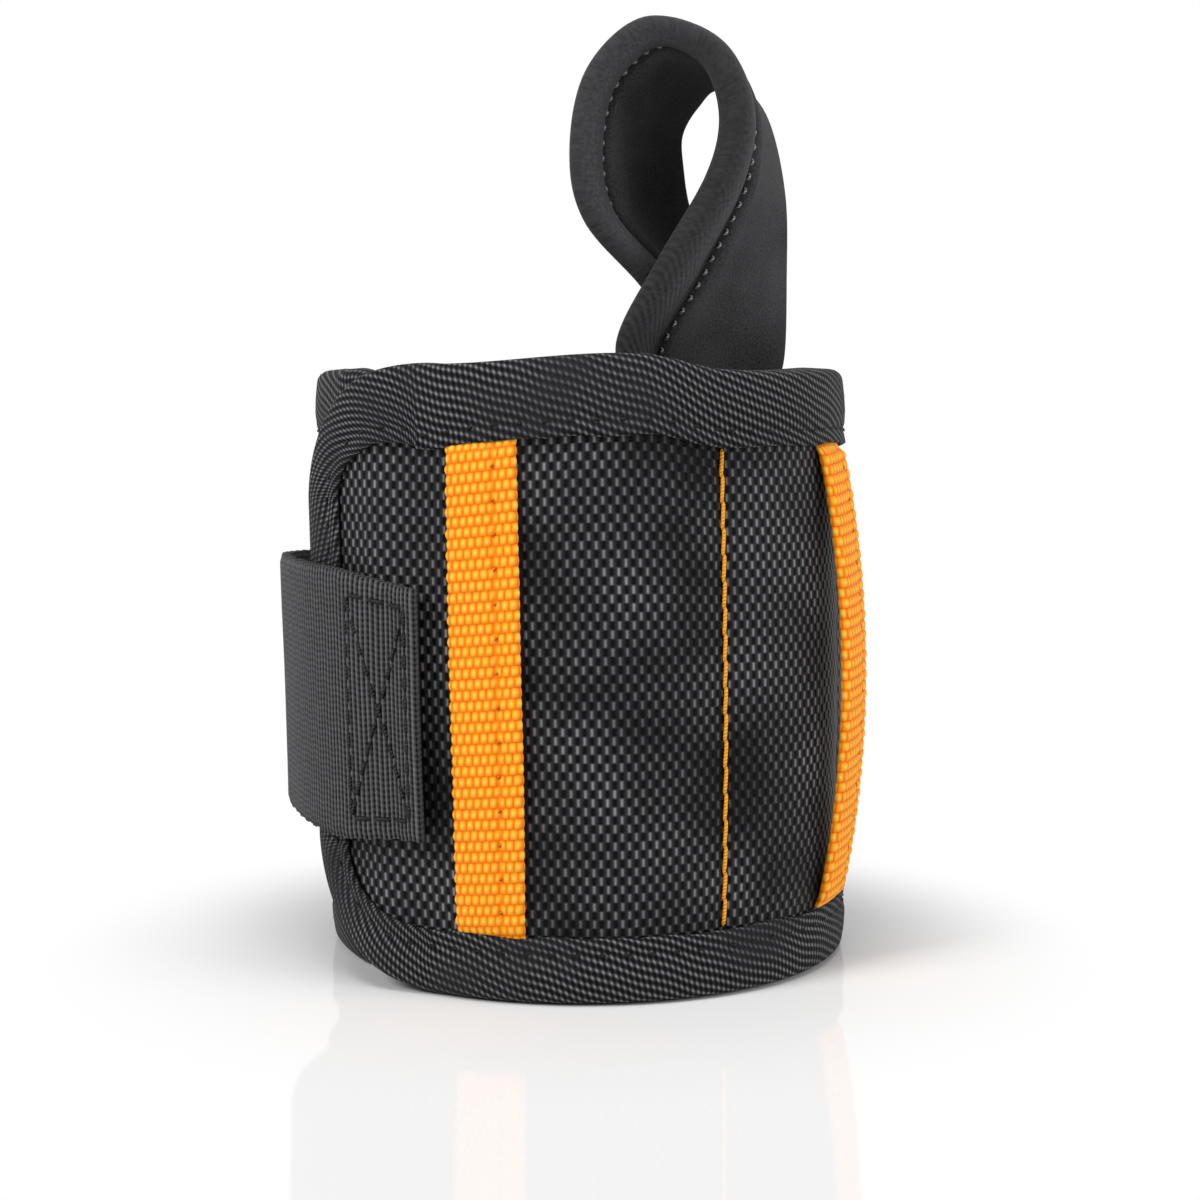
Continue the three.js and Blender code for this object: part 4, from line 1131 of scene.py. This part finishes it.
# painted highlight and shade across the roll: lightest at its crown, darker at its outer rim and towards the
# stitches
place = add_node(tree, "MapRange", {"Value": across, "From Min": -1.1 * ROLL_WIDTH, "From Max": 0.0})
painted_crown_light = add_node(tree, "ValToRGB", {"Fac": place.outputs[0]})
painted_crown_light.color_ramp.elements[0].color = linear("#bcbcbc")
painted_crown_light.color_ramp.elements[1].color = linear("#6c6c6c")
for share, colour in ((0.42, "#ffffff"), (0.64, "#e7e7e7"), (0.84, "#b3b3b3")):
    painted_crown_light.color_ramp.elements.new(share).color = linear(colour)
cloth = add_node(tree, "Mix", {"Factor": 1.0, "A": knit.outputs["Color"], "B": painted_crown_light.outputs["Color"]},
                 data_type="RGBA", blend_type="MULTIPLY")
surface = {"Base Color": cloth.outputs["Result"], "Roughness": 0.75, "Specular IOR Level": 0.08, **soft}
finish_material(tree, surface, relief.outputs[0], 0.1)


def at_loop(side, out, up):
    """The point at a distance along the wall behind the loop, out from it, and up from the rim."""
    turn = math.radians(LOOP_STATION)
    distance = LOOP_WALL + out
    x = wrist_x + MM * (distance * math.sin(turn) + side * math.cos(turn))
    y = wrist_y + MM * (side * math.sin(turn) - distance * math.cos(turn))
    return Vector((x, y, MM * (BAND_HEIGHT + up)))


def smooth_run(points, steps):
    """Points along a smooth curve through the given ones."""
    run = []
    last = len(points) - 1
    for t in spread(0, last - 1e-6, steps):
        i = int(t)
        s = t - i
        p0, p1, p2, p3 = (points[min(last, max(0, i + k))] for k in (-1, 0, 1, 2))
        m1, m2 = (p2 - p0) / 2, (p3 - p1) / 2
        place = p1 * (2 * s**3 - 3 * s**2 + 1) + m1 * (s**3 - 2 * s**2 + s)
        run.append(place + p2 * (3 * s**2 - 2 * s**3) + m2 * (s**3 - s**2))
    return run


def roll_plump(share):
    """The roll is squeezed inside the band, plump up the front leg, and slimmer over the top and down the
    rear."""
    foot = 1 - ROLL_FOOT * (1 - ease(*ROLL_FREED, share))
    return foot * (1 - ROLL_SLIM * ease(*ROLL_SLIMMED, share))


LOOP_STEPS = 170
rolled = smooth_run([at_loop(*p) for p in ROLLED_EDGE], LOOP_STEPS)
plain = smooth_run([at_loop(*p) for p in PLAIN_EDGE], LOOP_STEPS)


def loop_frames():
    """At each step of the loop: its rolled edge, the way across to the plain edge, the way out, its width and
    how plump its roll is."""
    frames = []
    for i in range(LOOP_STEPS + 1):
        low, high = max(0, i - 2), min(LOOP_STEPS, i + 2)
        across = plain[i] - rolled[i]
        width = across.length / MM
        across.normalize()
        along = (rolled[high] - rolled[low]) + (plain[high] - plain[low])
        along = (along - across * along.dot(across)).normalized()
        frames.append((rolled[i], across, along.cross(across), width, roll_plump(i / LOOP_STEPS)))
    return frames


def loop_mesh(name, outline, material):
    """A closed mesh with the same outline at each step of the loop. Outline points: across, out.
    Across its threads, distances are from the line of stitches."""
    sections, threads = [], []
    length = 0
    before = None
    for place, across, out, width, plump in loop_frames():
        length += (place - before).length / MM if before else 0
        before = place
        shape = outline(width, plump)
        sections.append([place + across * (u * MM) + out * (v * MM) for u, v in shape])
        threads.append([(length, u - ROLL_WIDTH * plump) for u, _ in shape])
    piece = sew(name, sections, threads, material)
    return piece


def panel_outline(width, plump):
    """The flat panel: rounded at its plain edge, sunk where the roll is sewn to it, with a soft ridge beside
    that."""
    half = LOOP_PANEL / 2
    roll = ROLL_WIDTH * plump
    outer = [(1.5, half - 0.4), (roll - 0.9, half - 0.6), (roll + 0.3, SEWN_HALF), (roll + 1.1, half + 0.1)]
    outer += [(roll + 1.9, half + 0.45), (roll + 2.9, half + 0.3), (roll + 4.2, half)]
    outer += [(u, half) for u in spread(roll + 6, width - 2, 5)]
    for turn in spread(0, math.pi / 2, 5):
        outer.append((width - half * (1 - math.sin(turn)), half * math.cos(turn)))
    return outer + [(u, -v) for u, v in reversed(outer[:-1])]


def roll_outline(width, plump):
    """The rolled edge: a plump bead that pinches to the panel at its stitch line."""
    roll = ROLL_WIDTH * plump
    middle = roll / 2 - ROLL_SHIFT
    points = []
    for turn in spread(math.radians(ROLL_OPEN), math.radians(360 - ROLL_OPEN), 26):
        swell = (ROLL_SWELL * math.sin(turn) + ROLL_CURL) * plump
        points.append((middle + (roll / 2 + ROLL_SPARE) * math.cos(turn), swell))
    return [(roll, SEWN_HALF), *points, (roll, -SEWN_HALF)]


loop_panel = loop_mesh("thumb_loop_neoprene", panel_outline, neoprene)
loop_roll = loop_mesh("thumb_loop_roll", roll_outline, rolled_jersey)
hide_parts("thumb_loop_panel")
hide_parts("thumb_loop_binding")

spans = []
for side in (1, -1):
    track = []
    for place, across, out, _, plump in loop_frames():
        sewn = place + across * (ROLL_WIDTH * plump + STITCH_PAST) * MM
        sewn += out * side * (SEWN_HALF + STITCH_OUT) * MM
        track.append((sewn, out * side))
    spans += track_spans(track, LOOP_STITCH, LOOP_SPACING)
pale_thread = thread_material("pale_polyester_thread", "#a9a9ac", "#5a5a5c")
loop_stitches = stitches("thumb_loop_stitches", spans, LOOP_THREAD, pale_thread)

for piece in (loop_panel, loop_roll, loop_stitches):
    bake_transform(piece)

# Foot patch
# A block of the same neoprene, sewn through the lining inside the rim, over the feet of both legs.
# It is all that holds the loop, so it is thick, with its edges rounded over.
PATCH_WIDTH = 20
PATCH_TOP = -1.5  # below the rim
PATCH_DROP = 15.5
PATCH_FACE = -9.3  # out from the wall
PATCH_ROUND = 1.4


def patch_section(side):
    """Outline of the patch at a distance along the wall: out from the wall, and up from the rim."""
    wall = math.sqrt(LOOP_WALL**2 - side**2) - LOOP_WALL
    round_off = PATCH_ROUND * (abs(side) / (PATCH_WIDTH / 2)) ** 6
    low, high = round_off - PATCH_DROP, PATCH_TOP - round_off
    face = [(4.5, high), (2, high - 0.5), (0.6, high - 1.6), (0, high - 4)]
    face += [(0, low + 4), (0.6, low + 1.2), (2, low)]
    return [(wall, low), (wall, high)] + [(PATCH_FACE + stitch_line_shade, up) for stitch_line_shade, up in face]


sides = spread(-PATCH_WIDTH / 2, PATCH_WIDTH / 2, 24)
sections = [[at_loop(side, out, up) for out, up in patch_section(side)] for side in sides]
threads = [[(side, up + out) for out, up in patch_section(side)] for side in sides]
foot_patch = sew("thumb_loop_foot_patch", sections, threads, neoprene)
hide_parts("thumb_loop_anchor")
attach(foot_patch, "front_band")

# Magnets
# Pressed and sintered discs, plated with nickel and sealed in the pockets between the shell and the foam.
# They keep their solids and only get their finish here.

# Nickel plate, put on in a turning drum: bright silvery grey, faintly mottled.
MOTTLE = 0.9  # to the millimetre
nickel_plate, tree, _, _, _ = new_material("nickel_plate")
plating = add_node(tree, "TexCoord", {})
mottle = {"Vector": plating.outputs["Object"], "Scale": MOTTLE / MM, "Detail": 3.0}
mottle = add_node(tree, "TexNoise", mottle)
shade = add_node(tree, "MapRange", {"Value": mottle.outputs["Fac"], "To Min": 0.18, "To Max": 0.34})
surface = {"Base Color": linear("#b8babd"), "Metallic": 1.0, "Roughness": shade.outputs[0]}
finish_material(tree, surface, mottle.outputs["Fac"], 0.01)
for name, node in frame["nodes"].items():
    if name.startswith("magnet"):
        node.data.materials.clear()
        node.data.materials.append(nickel_plate)

# Studio
# A pale floor and soft light from three lamps, with the camera where the photograph was taken: low, a little
# under the rim.
CAMERA_DISTANCE = 280
CAMERA_HEIGHT = 69
LENS = 53.55
SENSOR = 36
PITCH = -3.2
YAW = 0.64
camera = bpy.data.objects.new("camera", bpy.data.cameras.new("camera"))
camera.data.lens = LENS
camera.data.sensor_width = SENSOR
camera.location = (wrist_x, wrist_y - CAMERA_DISTANCE * MM, CAMERA_HEIGHT * MM)
camera.rotation_euler = (math.radians(90 + PITCH), 0, -math.radians(YAW))
bpy.context.scene.collection.objects.link(camera)
bpy.context.scene.camera = camera


def seen_rays(tree):
    """1 where the floor or the surroundings are seen, straight on, in a mirror or through glass."""
    path = add_node(tree, "LightPath", {})
    seen = path.outputs["Is Camera Ray"]
    for kind in ("Is Glossy Ray", "Is Transmission Ray"):
        seen = add_node(tree, "Math", {0: seen, 1: path.outputs[kind]}, operation="MAXIMUM").outputs[0]
    return seen


# White acrylic sheet: it shows a shadow near the object, is plain white further off, and mirrors a little.
SHADOW_REACH = (0.044, 0.085)  # metres from the floor's middle: the shadow begins to fade, and is gone
MIRRORED = 0.1  # share of the light that it mirrors
acrylic = bpy.data.materials.new("white_acrylic")
acrylic.use_nodes = True
tree = acrylic.node_tree
tree.nodes.clear()
place = add_node(tree, "NewGeometry", {})
distance = add_node(tree, "VectorMath", {0: place.outputs["Position"]}, operation="LENGTH")
far = {"Value": distance.outputs["Value"], "From Min": SHADOW_REACH[0], "From Max": SHADOW_REACH[1]}
far = add_node(tree, "MapRange", far, interpolation_type="SMOOTHSTEP")
share = add_node(tree, "Math", {0: seen_rays(tree), 1: far.outputs[0]}, operation="MULTIPLY")
matt = add_node(tree, "BsdfDiffuse", {"Color": linear("#f4f4f4")})
white = add_node(tree, "Emission", {"Color": linear("#ffffff"), "Strength": 1.0})
mixed = add_node(tree, "MixShader", {"Fac": share.outputs[0], 1: matt.outputs[0], 2: white.outputs[0]})
mirror = add_node(tree, "BsdfGlossy", {"Color": linear("#ffffff"), "Roughness": 0.06})
mixed = add_node(tree, "MixShader", {"Fac": MIRRORED, 1: mixed.outputs[0], 2: mirror.outputs[0]})
add_node(tree, "OutputMaterial", {"Surface": mixed.outputs[0]})
mesh = bpy.data.meshes.new("floor")
mesh.from_pydata([(-3, -3, 0), (3, -3, 0), (3, 3, 0), (-3, 3, 0)], [], [(0, 1, 2, 3)])
mesh.materials.append(acrylic)
floor = bpy.data.objects.new("floor", mesh)
bpy.context.scene.collection.objects.link(floor)

AIM = Vector((0, 0, 0.05))
for name, place, power, size in (
    ("key_light", (-0.66, -0.5, 0.65), 5.6, 0.35),
    ("fill_light", (0.88, -0.42, 0.45), 3.6, 0.5),
    ("top_light", (0.0, -0.35, 1.1), 5.0, 0.6),
):
    lamp = bpy.data.lights.new(name, "AREA")
    lamp.energy = power
    lamp.size = size
    light = bpy.data.objects.new(name, lamp)
    light.location = place
    light.rotation_euler = (AIM - Vector(place)).to_track_quat("-Z", "Y").to_euler()
    bpy.context.scene.collection.objects.link(light)

SURROUND = 0.25  # how much light the white surroundings give
world = bpy.data.worlds.new("studio")
world.use_nodes = True
tree = world.node_tree
tree.nodes.clear()
dim = add_node(tree, "Background", {"Color": linear("#ffffff"), "Strength": SURROUND})
white = add_node(tree, "Background", {"Color": linear("#ffffff"), "Strength": 1.0})
mixed = add_node(tree, "MixShader", {"Fac": seen_rays(tree), 1: dim.outputs[0], 2: white.outputs[0]})
add_node(tree, "OutputWorld", {"Surface": mixed.outputs[0]})
bpy.context.scene.world = world
bpy.context.scene.view_settings.view_transform = "Standard"
